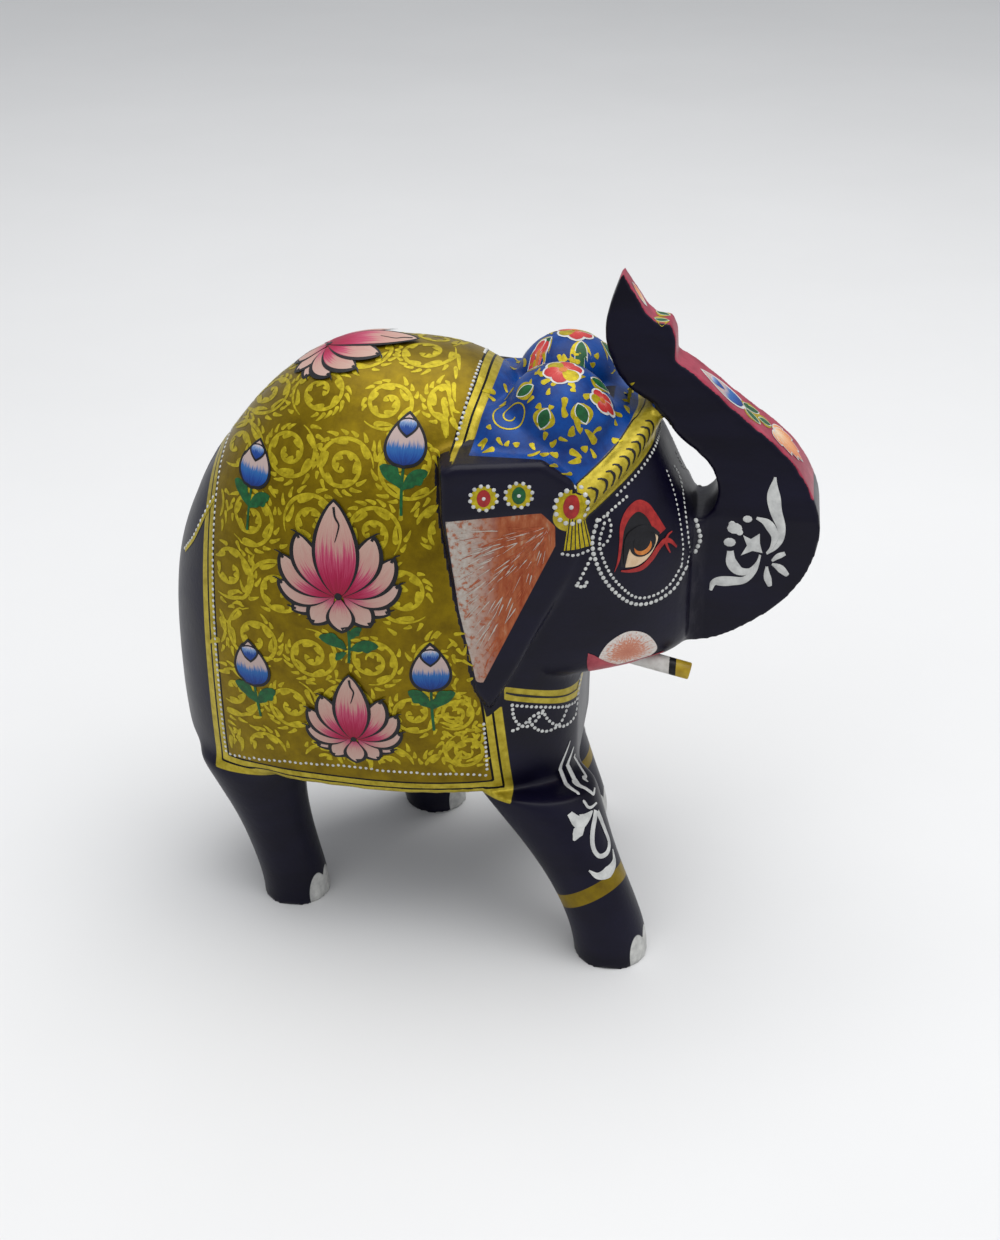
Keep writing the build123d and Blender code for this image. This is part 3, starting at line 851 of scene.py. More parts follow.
def scroll(paint, sheet, centre, radius, start, hand, allowed, lift, rng):
    """A foliage spiral with comma leaves inside and out, cut where not allowed."""
    turns = np.linspace(0, 2 * np.pi * 1.75, 96)

    def spot(t, outward):
        """A place on the spiral, moved outward from its centre."""
        return np.array(centre) + unit(start + hand * t) * (radius * (1 - t / turns[-1] * 0.80) + outward)

    flat = np.array([spot(t, 0) for t in turns])
    keep = np.array([allowed(q) for q in flat])
    breaks = np.flatnonzero(np.diff(np.concatenate([[0], keep.astype(int), [0]])))
    for first, last in zip(breaks[::2], breaks[1::2]):
        if last - first > 4:
            width = np.interp(np.linspace(0, 1, last - first), (0, 0.1, 0.85, 1), (0.25, 1, 1, 0.3)) * 1.4
            paint.ribbon(sheet, flat[first:last], width, lift, 0.03)
    for t in np.linspace(0.35, turns[-1] * 0.93, int(1.05 * radius)):
        here = radius * (1 - t / turns[-1] * 0.80)
        root = spot(t, -0.9)
        if allowed(root) and here > 2.5:
            heading = math.degrees(start + hand * t) + hand * (125 + rng.uniform(-12, 12))
            comma(paint, sheet, root, heading, min(6.5, here * 0.66), 2.2, lift + 0.02, -hand * 0.3)
    for t in np.arange(0.2, 2 * np.pi * 0.9, 3.4 / radius):
        root = spot(t, 1.3)
        if allowed(root) and rng.random() < 0.75:
            heading = math.degrees(start + hand * t) + hand * (55 + rng.uniform(-15, 15))
            comma(paint, sheet, root, heading, rng.uniform(2.6, 4.4), 1.6, lift, hand * 0.3)


# ---- saddle cloth ----------------------------------------------------------------------------
def cloth_drawing(side):
    """One flank of the saddle cloth: scrolls, lotuses, buds, sprig and the dotted border."""
    rng = random.Random(SEED + side)
    sheet = wrap_sheet((-99.0, 7.0), 125, 198, side)
    if side < 0:
        sheet.flipped()
    hem = {x: sheet.down_to(x, 76.5) for x in range(-98, -7)}

    def allowed(q):
        x, v = q
        down = v - sheet.spine(x)
        right_end = -7.5 if down < 42 else -10.8
        return -90.0 < x < right_end and -0.3 < down and v < hem.get(int(round(x)), 150) - 1.5

    centres = []
    for row in range(8):
        for col in range(5):
            centre = (-86.0 + 22.0 * col - 11.0 * (row % 2) + rng.uniform(-2, 2),
                      12.0 + 23.0 * row + rng.uniform(-2, 2))
            radius = rng.uniform(9.6, 12.2)
            centres.append((centre, radius))
            hand = 1 if (row + col) % 2 else -1
            scroll(scrolls, sheet, centre, radius, rng.uniform(0, 6.28), hand, allowed, 0.08, rng)
    for _ in range(1000):
        q = np.array([rng.uniform(-92, -6), rng.uniform(2, 186)])
        gaps = [np.linalg.norm(q - c) - r for c, r in centres]
        if allowed(q) and 3.4 < min(gaps) and rng.random() < 0.7:
            around = q - centres[int(np.argmin(gaps))][0]
            heading = math.degrees(math.atan2(around[1], around[0]))
            heading += rng.choice((70, 110)) + rng.uniform(-20, 20)
            comma(scrolls, sheet, q, heading, rng.uniform(2.4, 4.6), 1.7, 0.09, rng.uniform(-0.4, 0.4))

    def brush_at(x, z, scale=1.0, turn=0.0):
        return Brush(sheet, (x, sheet.down_to(x, z)), scale, turn, right=(1, 0))

    for x, z, scale, turn in ((-22.5, 189.5, 1.0, -2), (-76.5, 176.5, 0.92, -6), (-77.0, 105.2, 0.97, 4)):
        bud(brush_at(x, z, scale, turn), (0.6, -16.5 if z > 150 else -13.5))
    low = flank_sheet((-34, 14), (62, 142), side)
    bud(Brush(low, (-12.6, 110.6), 1.0, 0, right=(1, 0), up=(0, 1)), (0.6, -17.0))

    def low_allowed(q):
        off = polygon_distance(np.array([q[0]]), np.array([q[1]]), EAR)[0]
        return -10.5 < q[0] < 4.6 and 77 < q[1] < 136 and off < -2.6

    for centre, radius in (((-1.0, 84.0), 8.0), ((-4.5, 100.5), 7.0)):
        scroll(scrolls, low, centre, radius, rng.uniform(0, 6.28), 1, low_allowed, 0.08, rng)
    for _ in range(60):
        q = (rng.uniform(-10, 4), rng.uniform(78, 134))
        if low_allowed(q):
            comma(scrolls, low, q, rng.uniform(0, 360), rng.uniform(2.4, 4.2), 1.5, 0.09, 0.3)
    line = [(x, np.interp(x, (-12, 0, 6), (74.4, 73.2, 72.0))) for x in np.arange(-7.0, 6.5, 2.05)]
    relief.dots(low, line, 0.62)
    lotus(brush_at(-43.6, 143.5, 33.0, 3))
    lotus(brush_at(-40.6, 87.2, 26.5, 1))
    sprig = brush_at(-41.0, 134.0)
    stem = curve(sprig.to([(0, 1), (0.5, -6), (0, -14)]))
    greens.ribbon(sheet, stem, 1.0, 0.2, 0.06)
    for root, tip, half, bow in (
            ((-0.5, -9), (-10.5, -5), 2.6, 0.2), ((0.5, -9), (10.8, -6.5), 2.6, -0.2),
            ((0.5, -5), (5.0, 0.2), 1.7, -0.2), ((-0.5, -10), (-4.5, -13.5), 1.4, 0.2)):
        leaf(greens, sprig, root, tip, half, 0.24, bow)

    rear = [(-92.3, v) for v in np.arange(sheet.spine(-92.3) + 1, sheet.down_to(-92, 68), 2.1)]
    relief.dots(sheet, rear, 0.62, heading=(0, 1))
    hem_x = np.arange(-90.5, -8, 2.05)
    hem_z = np.interp(hem_x, (-92, -70, -44, -20, -8), (69.5, 73.0, 75.3, 74.6, 74.0))
    relief.dots(sheet, [(x, sheet.down_to(x, z)) for x, z in zip(hem_x, hem_z)], 0.62)
    top_down = np.arange(0.5, 42, 2.0)
    top_x = np.interp(top_down, (0, 12, 26, 44), (-1.8, -2.4, -3.8, -6.2))
    top = [(x, sheet.spine(x) + down) for x, down in zip(top_x, top_down)]
    relief.dots(sheet, top, 0.66, heading=(0, 1))


for side in SIDES:
    cloth_drawing(side)
back = cast_sheet((0, 0, 300), (1, 0, 0), (0, 1, 0), (-100, 10), (-42, 42))
lotus(Brush(back, (-57.5, 0.0), 31.0, 0, right=(0, -1), up=(1, 0)), 0.3)


# ---- flank, ear, head: flat coordinates are x and z ------------------------------------------
def line_dots(paint, sheet, points, pitch, radius, lift=-0.08):
    """Evenly spaced drops along a smooth flat line."""
    line = curve(points, 0.3)
    places = sheet.place(line, 0)[0]
    length = np.concatenate([[0], np.cumsum(np.linalg.norm(np.diff(places, axis=0), axis=1))])
    count = max(2, int(round(length[-1] / pitch)) + 1)
    wanted = np.linspace(0, length[-1], count)
    flat = np.stack([np.interp(wanted, length, line[:, 0]), np.interp(wanted, length, line[:, 1])], axis=1)
    heading = np.gradient(flat, axis=0)
    heading /= np.linalg.norm(heading, axis=1, keepdims=True)
    paint.dots(sheet, flat, radius, lift=lift, long=1.12, heading=heading)


def gem(sheet, centre, radius, stone, count=12, up=1.0):
    """A painted jewel: gold disc, coloured stone with a highlight and a ring of white drops."""
    gold_flecks.fill(sheet, ring_points(centre, radius, radius * up), 0.14, 4, 0.1)
    stone.fill(sheet, ring_points(centre, radius * 0.52, radius * 0.72 * up), 0.30, 4, 0.12)
    ring = ring_points(centre, radius * 1.02, radius * 1.02 * up, count, 0.2)
    relief.dots(sheet, ring, radius * 0.17, lift=0.02)
    relief.dots(sheet, [centre], radius * 0.16, lift=0.36)


# middle lines of white beads: points, pitch, radius
HEAD_BEADS = (
    # two rows from the band's end round the front of the ear to the cheek
    (((42.5, 172.8), (41.2, 164.5), (44.6, 153), (50.2, 144.4), (55.8, 139.7), (62.4, 139.1), (68.6, 142.2),
      (72.2, 148.5)), 2.0, 0.78),
    (((44.8, 171.5), (43.6, 164.3), (46.9, 154.2), (51.8, 146.6), (56.4, 142.2), (62.0, 141.6), (67.0, 144.2),
      (70.6, 150.0)), 1.8, 0.62),
    (((43.3, 172.8), (48.2, 176.4), (51.5, 178.6)), 1.9, 0.6),
    (((41.5, 161.5), (39.0, 155.5), (36.8, 150.5)), 2.0, 0.66),
    (((36.4, 149.6), (38.6, 148.9), (39.6, 150.6)), 1.6, 0.7),
    (((43.5, 163.0), (46.5, 166.0), (47.0, 170.5), (45.6, 174.0)), 1.8, 0.58),
    # two rows up the face beside the trunk
    (((72.6, 149.0), (72.9, 156.0), (71.0, 166.0), (68.4, 174.5), (65.2, 182.5)), 1.8, 0.58),
    (((70.8, 151.0), (70.9, 157.0), (69.3, 165.5), (66.8, 173.6), (63.8, 181.0)), 1.7, 0.5),
    # front edge of the cloth below the ear
    (((5.8, 75.0), (5.6, 84.0), (5.0, 95.0)), 2.05, 0.62),
)
CHEEK = ((43.6, 115.6), (44.4, 120.2), (47.7, 125.6), (54.0, 128.9), (60.2, 126.0), (63.6, 118.6),
         (60.0, 114.0), (52.0, 112.2), (43.6, 115.6))
MOUTH = ((40.4, 121.6), (43.2, 119.6), (44.6, 115.6), (52.0, 112.8), (60.0, 114.2), (66.0, 115.4),
         (62.0, 112.4), (55.0, 109.4), (48.5, 107.6), (42.5, 106.6), (40.6, 110.0), (40.0, 116.5),
         (40.4, 121.6))
EAR_FAN = np.array([27.5, 172.5])  # the corner that the ear's strokes spread from


def ear_and_head(side):
    """Jewels, tassel, eye, beads, cheek and mouth, and the strokes on the ear."""
    sheet = flank_sheet((-12, 76), (60, 204), side)
    gem(sheet, (5.9, 183.8), 4.3, reds)
    gem(sheet, (17.2, 184.4), 4.3, greens)
    gem(sheet, (34.2, 179.6), 5.2, reds, 15, 1.15)
    tassel(sheet)
    eye(sheet)
    for points, pitch, radius in HEAD_BEADS:
        line_dots(relief, sheet, points, pitch, radius)
    cheeks.fill(sheet, curve(CHEEK, 0.7)[:-1], 0.14, 8, 0.05)
    mouths.fill(sheet, curve(MOUTH, 0.7)[:-1], 0.18, 8, 0.04)
    rng = random.Random(SEED + 7)
    for _ in range(420):
        angle = math.radians(rng.uniform(182, 264))
        start = EAR_FAN + unit(angle) * rng.uniform(1, 60)
        angle += rng.uniform(-0.2, 0.2)
        stroke = start + unit(angle) * rng.uniform(3, 9) * shares(8)
        if polygon_distance(stroke[:, 0], stroke[:, 1], PANEL).min() < 0.8:
            continue
        warm = np.clip((start[0] + 4) / 28, 0, 1)
        paint = ear_orange if rng.random() < 0.25 + 0.55 * warm else ear_white
        width = np.interp(np.linspace(0, 1, 8), (0, 0.15, 1), (0.2, 1, 0.15)) * rng.uniform(0.2, 0.55)
        paint.ribbon(sheet, stroke, width, 0.06 + 0.05 * rng.random(), 0.02)


EYE_DARK = ((50.6, 155.6), (50.8, 163.5), (51.2, 169.5), (53.6, 173.6), (57.0, 173.4), (59.8, 169.2),
            (62.4, 164.4), (61.0, 160.6), (58.0, 156.6), (54.0, 154.4), (50.6, 155.6))
EYE_ARCH = (((48.6, 153.9), (49.5, 158.0), (49.9, 164.4), (49.9, 170.3), (51.5, 174.6), (54.8, 176.8),
             (58.3, 175.0), (61.2, 171.0), (64.7, 165.2)),
            ((48.8, 153.9), (50.3, 158.0), (50.9, 163.5), (51.3, 168.4), (52.9, 171.8), (55.4, 173.2),
             (58.2, 170.9), (60.6, 166.6), (62.6, 164.0)))
EYE_ALMOND = ((52.2, 155.0), (52.3, 159.4), (52.9, 163.8), (55.4, 166.2), (58.6, 166.0), (62.2, 163.8),
              (61.4, 160.2), (59.3, 157.0), (56.1, 155.0), (52.2, 155.0))
EYE_LID = ((51.9, 156.0), (52.2, 161.0), (53.2, 165.2), (56.2, 167.4), (59.6, 166.8), (62.6, 164.2))
EYE_LOWER = ((50.8, 153.9), (54.0, 153.4), (57.6, 153.9), (60.6, 156.6), (62.6, 159.6), (64.6, 161.4),
             (66.6, 160.6), (68.6, 158.0))
EYE_FLICKS = (((64.6, 161.0), (65.6, 163.0), (66.8, 163.6)), ((64.8, 161.2), (65.6, 159.0), (66.6, 156.8)))


def resampled(line, count):
    """The flat line with another number of points."""
    old, new = np.linspace(0, 1, len(line)), np.linspace(0, 1, count)
    return np.stack([np.interp(new, old, line[:, k]) for k in (0, 1)], axis=1)


def eye(sheet):
    """Dark socket, red arch, cream almond with a black and orange iris, lid and lower line."""
    lines.fill(sheet, curve(EYE_DARK, 0.6)[:-1], 0.12)
    reds.patch(sheet, *(resampled(curve(edge, 0.6), 44) for edge in EYE_ARCH), 0.2, 4, 0.05)
    creams.fill(sheet, curve(EYE_ALMOND, 0.5)[:-1], 0.22)
    lines.fill(sheet, ring_points((57.5, 162.6), 4.2, 4.6), 0.30)
    oranges.fill(sheet, ring_points((57.6, 161.4), 2.8, 2.8), 0.34)
    lines.fill(sheet, ring_points((57.2, 163.2), 2.7, 3.1), 0.40)
    lid = curve(EYE_LID, 0.5)
    lines.ribbon(sheet, lid, np.interp(np.linspace(0, 1, len(lid)), (0, 0.5, 1), (0.5, 3.4, 1.2)), 0.44)
    lower = curve(EYE_LOWER, 0.5)
    width = np.interp(np.linspace(0, 1, len(lower)), (0, 0.3, 0.8, 1), (0.6, 2.0, 1.8, 0.7))
    reds.ribbon(sheet, lower, width, 0.24, 0.05)
    for points in EYE_FLICKS:
        flick = curve(points, 0.4)
        reds.ribbon(sheet, flick, np.linspace(1.3, 0.4, len(flick)), 0.28, 0.04)


def tassel(sheet):
    """A gold tassel below the headband's end, with black threads and a beaded hem."""
    left = np.linspace((33.4, 175.5), (32.0, 163.6), 14)
    right = np.linspace((38.6, 174.0), (41.0, 164.4), 14)
    gold_flecks.patch(sheet, left, right, 0.12, 8, 0.1)
    for share in np.linspace(0.08, 0.92, 6):
        lines.ribbon(sheet, left + (right - left) * share, 0.4, 0.24, 0.03)
    line_dots(relief, sheet, [(31.6, 162.4), (36.4, 161.6), (41.4, 163.2)], 1.9, 0.62)


for side in SIDES:
    ear_and_head(side)


# ---- headband, cap ---------------------------------------------------------------------------
class Skin:
    """Looks like a sheet, but takes points in space and finds the skin nearest to them."""

    def __init__(self, side):
        self.flip = np.array([1.0, -side, 1.0])

    def place(self, points, lift):
        found = [BODY_TREE.find_nearest(Vector(q * self.flip)) for q in np.atleast_2d(points)]
        normals = np.array([tuple(f[1]) for f in found])
        if len(normals) > 4:
            soft = np.vstack([normals[:1], normals, normals[-1:]])
            normals = soft[:-2] + soft[1:-1] * 2 + soft[2:]
            normals /= np.linalg.norm(normals, axis=1, keepdims=True)
        spots = np.array([tuple(f[0]) for f in found])
        return spots + normals * np.asarray(lift, float).reshape(-1, 1), normals


BAND_RIGHT = np.array(BAND_PATH) * (1, -1, 1)


def headband(side):
    """Curved black hatching between two edge lines, white drops below."""
    skin = Skin(side)
    path = curve(BAND_RIGHT, 0.5)
    end = len(path) - 1
    for share in np.linspace(0.13, 0.99, 15):
        here = int(share * end)
        along = path[min(end, here + 3)] - path[max(0, here - 3)]
        along /= np.linalg.norm(along)
        outward = np.cross(along, BAND_UP)
        outward *= math.copysign(6.0, outward @ (0.5, -0.7, 0.3))  # so that the nearest skin is the outer one
        t = shares(13)
        forward = 2.4 * np.sin(np.pi * t) - 1.6 * t
        hatch = path[here] + outward + BAND_UP * (5.0 - 10.0 * t) + along * forward
        lines.ribbon(skin, hatch, np.interp(t[:, 0], (0, 0.5, 1), (0.4, 1.15, 0.5)), 0.15, 0.03)
    for offset in (5.5, -5.5):
        lines.ribbon(skin, curve(BAND_RIGHT[1:] + BAND_UP * offset, 0.8), 0.5, 0.14, 0.03)
    relief.dots(skin, curve(BAND_RIGHT[2:] + BAND_UP * -7.0, 0.5)[4::4], 0.6)


def rump_chain(side):
    """A gold strap with white beads that hangs down the rump behind the cloth."""
    skin = Skin(side)
    path = curve([(-97.5, -31.0, 170.0), (-101.0, -29.0, 160.0), (-103.5, -26.0, 150.0),
                  (-106.0, -20.0, 142.0)], 0.6)
    gold_flecks.ribbon(skin, path, 2.0, 0.12, 0.03)
    relief.dots(skin, path[2::4] + (0.0, 1.2, 0.0), 0.7)


# places in space on the right-hand dome: blossom, radius, turn, petals; leaf root, heading
CAP_FLOWERS = (((28.0, -19.5, 217.0), 7.0, 20, 6), ((16.4, -8.0, 213.0), 4.0, -10, 5),
               ((41.5, -22.5, 208.0), 4.2, 60, 5))
CAP_LEAVES = (((19.0, -25.0, 213.0), 200), ((24.5, -31.5, 207.5), 250), ((34.0, -29.0, 209.0), 300),
              ((37.0, -17.0, 213.5), 350), ((20.5, -13.5, 215.5), 150), ((31.0, -9.0, 213.0), 80))
FLECK_SPACING, CURL_CLEARANCE, TRUNK_STEP = 3.3, 8.5, 9


def cap_drawing(side):
    """Blossoms with leaves on the dome, gold flecks and a gold curl over the blue."""
    rng = random.Random(SEED + 31)
    sheet = cast_sheet((0, -72, 200), (1, 0, 0), (0, 0.8, 0.6), (0, 66), (-2, 76), 0.8, side)

    def cap_distance(q):
        """How far inside the cap a flat point lies; the margins keep flecks off its edges."""
        x, y, z = sheet.place([q], 0)[0][0]
        spot = np.array([x, abs(y), z])
        off_dome = math.dist(spot, DOME_CENTRE) > DOME_REACH
        if x > CAP_FRONT_X - 1.5 or (x > TRUNK_ROOT_X and z > CAP_CREST_Z - 1 and off_dome):
            return -1.0
        above_band = (spot - nearest_on(BAND_PATH, spot)) @ BAND_UP
        return min(above_band - BAND_HALF, x - cloth_front(z), CAP_HALF_WIDTH - 0.5 - abs(y))

    def uneven(q):
        """Whether the skin steps down to the trunk within 4 mm."""
        around = [(q[0] + right, q[1] + up) for right, up in ((-4, 0), (4, 0), (0, -4), (0, 4))]
        return np.ptp(sheet.place(around, 0)[0][:, 1]) > TRUNK_STEP

    for place, radius, turn, count in CAP_FLOWERS:
        flower(sheet, sheet.at([place])[0], radius, turn, count)
    for place, angle in CAP_LEAVES:
        outlined_leaf(sheet, sheet.at([place])[0], angle, 6.4, 2.0)
    curl_centre = sheet.at([(12.0, -28.0, 203.0)])[0]
    ring = np.linspace(0, 2 * np.pi * 1.6, 60)
    reach = 7.0 * (1 - ring / ring[-1] * 0.8)
    swirl = curl_centre + np.stack([np.cos(ring + 2.0), np.sin(ring + 2.0)], 1) * reach[:, None]
    gold_flecks.ribbon(sheet, swirl, 0.55, 0.12, 0.03)
    flecks = [(0.0, 0.0)]
    for _ in range(1600):
        q = (rng.uniform(1, 64), rng.uniform(0, 72))
        crowded = min(math.dist(q, other) for other in flecks) < FLECK_SPACING
        if crowded or cap_distance(q) < 1.2 or math.dist(q, curl_centre) < CURL_CLEARANCE or uneven(q):
            continue
        flecks.append(q)
        comma(gold_flecks, sheet, q, rng.uniform(0, 360), rng.uniform(1.8, 4.6), rng.uniform(1.4, 2.8),
              0.10 + 0.03 * rng.random(), rng.uniform(-0.5, 0.5))


def nearest_on(path, q):
    return path_distance(np.array([q], float), path)[1][0]


def flower(sheet, centre, radius, turn, count):
    """A round blossom: white-edged petals, some gold, about an orange eye."""
    for k in range(count):
        a = math.radians(turn + 360 / count * k)
        ahead, aside = unit(a), unit(a + np.pi / 2)
        t = shares(16)
        half = np.sin(np.pi * t ** 1.35) ** 0.55
        spine = centre + ahead * radius * t
        edge = aside * (half * radius * 0.47 + 0.1)
        relief.patch(sheet, spine + edge, spine - edge, 0.16 + 0.012 * k)
        inner = centre + ahead * (radius - 0.55) * t
        edge = aside * half * radius * 0.38
        (gold_flecks if k % 3 == 2 else blooms).patch(sheet, inner + edge, inner - edge, 0.20 + 0.012 * k)
    oranges.fill(sheet, ring_points(centre, radius * 0.2, radius * 0.2, 14), 0.34, 3, 0.1)


def outlined_leaf(sheet, root, angle, length, half):
    """A green leaf with a white edge and a gold one outside it."""
    along = unit(math.radians(angle)) * length
    spine = np.array(root) + along * shares(14)
    gold_flecks.blade(sheet, spine, half + 1.9, 0.10)
    relief.blade(sheet, spine, half + 0.35, 0.14)
    greens.blade(sheet, np.array(root) + along * shares(14, 0.07, 0.93), half, 0.18)


# ---- collar, chest and legs ------------------------------------------------------------------
COLLAR_RING = ((12.5, 107.0), (15.6, 105.6), (20.0, 104.0), (26.0, 101.8), (31.0, 100.0), (36.0, 98.2))
COLLAR_BEADS = ((14.6, 101.4), (20.0, 99.6), (26.0, 97.6), (32.0, 95.2), (36.5, 93.4))
COLLAR_LOOPS = (((14.6, 101.4), (15.2, 96.0), (17.6, 92.0), (21.0, 91.6), (24.6, 95.6)),
                ((14.8, 90.6), (17.6, 91.6), (21.4, 95.0), (24.8, 96.4)),
                ((20.4, 93.0), (22.6, 89.4), (25.6, 87.4), (28.6, 87.6), (31.0, 89.6), (33.0, 94.6)),
                ((24.8, 96.4), (26.6, 92.0), (29.4, 88.6), (32.0, 87.0), (35.0, 88.0), (36.6, 93.0)))


def collar_drawing(side):
    """The collar's lower line, its row of beads and the beaded loops that hang from it."""
    sheet = flank_sheet((0, 62), (20, 112), side)
    ring = curve(COLLAR_RING, 0.7)
    width = np.interp(np.linspace(0, 1, len(ring)), (0, 0.2, 1), (0.6, 1.0, 0.5))
    lines.ribbon(sheet, ring, width, 0.14, 0.03)
    line_dots(relief, sheet, COLLAR_BEADS, 1.9, 0.66)
    for loop in COLLAR_LOOPS:
        line_dots(relief, sheet, loop, 1.9, 0.7)


for side in SIDES:
    headband(side)
    rump_chain(side)
    cap_drawing(side)
    collar_drawing(side)

FORELEG_MARKS = (
    # middle line in space, then the width at one end, near the middle and at the other end
    (((35.0, -30.0, 79.0), (33.0, -34.0, 70.0), (35.5, -38.0, 62.5), (40.0, -40.5, 58.0),
      (45.5, -38.0, 59.0)), (0.3, 1.3, 0.6)),
    (((37.5, -28.0, 75.0), (36.2, -32.0, 68.0), (38.0, -35.5, 63.0), (42.0, -36.5, 61.0),
      (45.0, -34.0, 63.5)), (0.4, 1.9, 0.5)),
    (((40.5, -27.0, 71.0), (39.6, -30.5, 66.5), (41.2, -32.5, 64.8)), (0.4, 1.5, 0.4)),
    (((33.0, -42.5, 57.0), (36.5, -44.0, 54.5), (40.0, -44.0, 55.5), (44.5, -42.0, 58.0)), (1.6, 4.4, 0.5)),
    (((36.0, -46.5, 48.5), (37.5, -46.0, 51.5), (40.0, -45.0, 54.5)), (0.6, 3.4, 1.2)),
    (((46.0, -40.5, 57.5), (43.5, -44.5, 51.5), (43.6, -47.0, 46.0), (46.8, -48.0, 42.6), (51.0, -45.5, 43.0),
      (52.6, -42.0, 46.0), (50.5, -41.0, 52.0), (47.0, -40.0, 57.0)), (1.8, 1.3, 1.8)),
    (((43.0, -51.0, 38.5), (46.5, -50.8, 36.0), (50.5, -48.5, 36.4), (54.0, -44.5, 39.0),
      (54.6, -42.0, 43.0)), (0.4, 3.4, 0.5)),
)
LEFT_FORELEG_SHIFT = (-24.5, 1.5, 0.0)  # the left foreleg stands further back


def foreleg_marks(side, shift):
    """White scrolls down the front of the foreleg."""
    for points, widths in FORELEG_MARKS:
        stroke = curve(np.array(points) + shift, 0.7)
        width = 1.3 * np.interp(np.linspace(0, 1, len(stroke)), (0, 0.45, 1), widths)
        relief.ribbon(Skin(side), stroke, width, 0.14, 0.22, 4)


foreleg_marks(-1, (0.0, 0.0, 0.0))
foreleg_marks(1, LEFT_FORELEG_SHIFT)


# ---- trunk -----------------------------------------------------------------------------------
TRUNK_MARKS = (
    # middle line, widths along it and the shares of its length that have them
    (((100.6, 180.2), (100.4, 174.5), (101.6, 168.4), (103.8, 162.6), (104.0, 157.8), (102.2, 154.2),
      (99.6, 152.0)), (0.4, 5.0, 3.6, 0.5), (0, 0.24, 0.5, 1)),
    (((95.2, 165.4), (99.0, 163.7), (101.8, 159.2), (101.2, 154.8), (99.5, 152.3)),
     (0.6, 3.8, 2.2, 0.5), (0, 0.3, 0.6, 1)),
    (((101.6, 149.4), (103.4, 151.2), (105.9, 152.6)), (0.5, 2.6, 2.4, 0.8), (0, 0.5, 0.8, 1)),
    (((101.6, 148.2), (104.2, 147.0), (107.3, 144.2)), (0.5, 3.2, 3.0, 0.8), (0, 0.5, 0.8, 1)),
    (((99.9, 147.2), (100.2, 143.8), (101.5, 139.6)), (0.5, 2.8, 2.8, 0.8), (0, 0.5, 0.8, 1)),
    (((87.0, 152.4), (87.6, 148.0), (90.4, 144.8), (94.2, 145.0), (96.6, 148.2), (97.3, 151.6)),
     (2.0, 4.4, 2.4, 0.5), (0, 0.3, 0.6, 1)),
    (((81.0, 136.6), (82.2, 139.8), (87.4, 140.6), (92.4, 141.4), (95.9, 145.4), (97.5, 151.4)),
     (0.8, 4.2, 2.6, 0.4), (0, 0.25, 0.55, 1)),
)
STAR = np.array([(91.0, 158.6), (93.8, 157.3), (96.7, 159.6), (97.0, 155.8), (98.1, 152.2), (94.6, 152.8),
                 (90.7, 150.8), (92.6, 154.7)])


def trunk_side(side):
    """White brush marks, star and drops on one side of the trunk."""
    sheet = flank_sheet((74, 120), (118, 205), side)
    for points, widths, places in TRUNK_MARKS:
        stroke = curve(points, 0.7)
        width = np.interp(np.linspace(0, 1, len(stroke)), places, widths)
        width = np.convolve(np.pad(width, 3, "edge"), np.ones(7) / 7, "valid")
        relief.ribbon(sheet, stroke, width, 0.06, 0.30, 4)
    edges = [np.linspace(a, b, 4, endpoint=False) for a, b in zip(STAR, np.roll(STAR, -1, axis=0))]
    relief.fill(sheet, np.concatenate(edges), 0.08, 4, 0.3)
    relief.dots(sheet, [(88.0, 161.0), (92.2, 164.8), (86.6, 155.6)], (2.1, 1.3, 1.7), 0.2, 0.05, 1.25)
    relief.dots(sheet, [(89.8, 159.6), (87.0, 162.6)], 1.2, 0.2, 0.05)
    line_dots(relief, sheet, [(75.0, 151.5), (76.4, 156.0), (75.6, 160.0), (74.6, 163.0)], 1.9, 0.85)


for side in SIDES:
    trunk_side(side)


# ---- red face of the trunk: flat coordinates in millimetres, right and up the trunk -----------
class Face:
    """Flat drawing plane tangent to the trunk's outer face at one point."""

    def __init__(self, centre, along):
        self.centre = np.array(centre, float)
        self.up = np.array(along, float)
        self.up /= np.linalg.norm(self.up)
        self.right = np.array([0.0, -1.0, 0.0])
        self.out = Vector(np.cross(self.right, self.up))
        if self.out.z < 0 and self.out.x < 0:
            self.out = -self.out

    def place(self, flat, lift):
        spots, normals = [], []
        for a, b in np.atleast_2d(flat):
            start = Vector(self.centre + self.right * a + self.up * b) + self.out * 12
            hit, normal, _, _ = BODY_TREE.ray_cast(start, -self.out, 30)
            spots.append(tuple(hit) if hit else tuple(start - self.out * 12))
            normals.append(tuple(normal) if hit else tuple(self.out))
        normals = np.array(normals)
        return np.array(spots) + normals * np.asarray(lift, float).reshape(-1, 1), normals


ROOT_LEAVES = (((-0.5, -10.0), 235, 8.0), ((0.5, -10.0), -60, 8.5), ((0.0, -16.0), 250, 6.5),
               ((0.0, -11.0), 180, 4.5))
FACE_PETALS = ((-62, 9, 2.0), (62, 9, 2.0), (-38, 12, 2.4), (38, 12, 2.4), (-16, 14, 2.6), (16, 14, 2.6),
               (0, 16, 2.8))


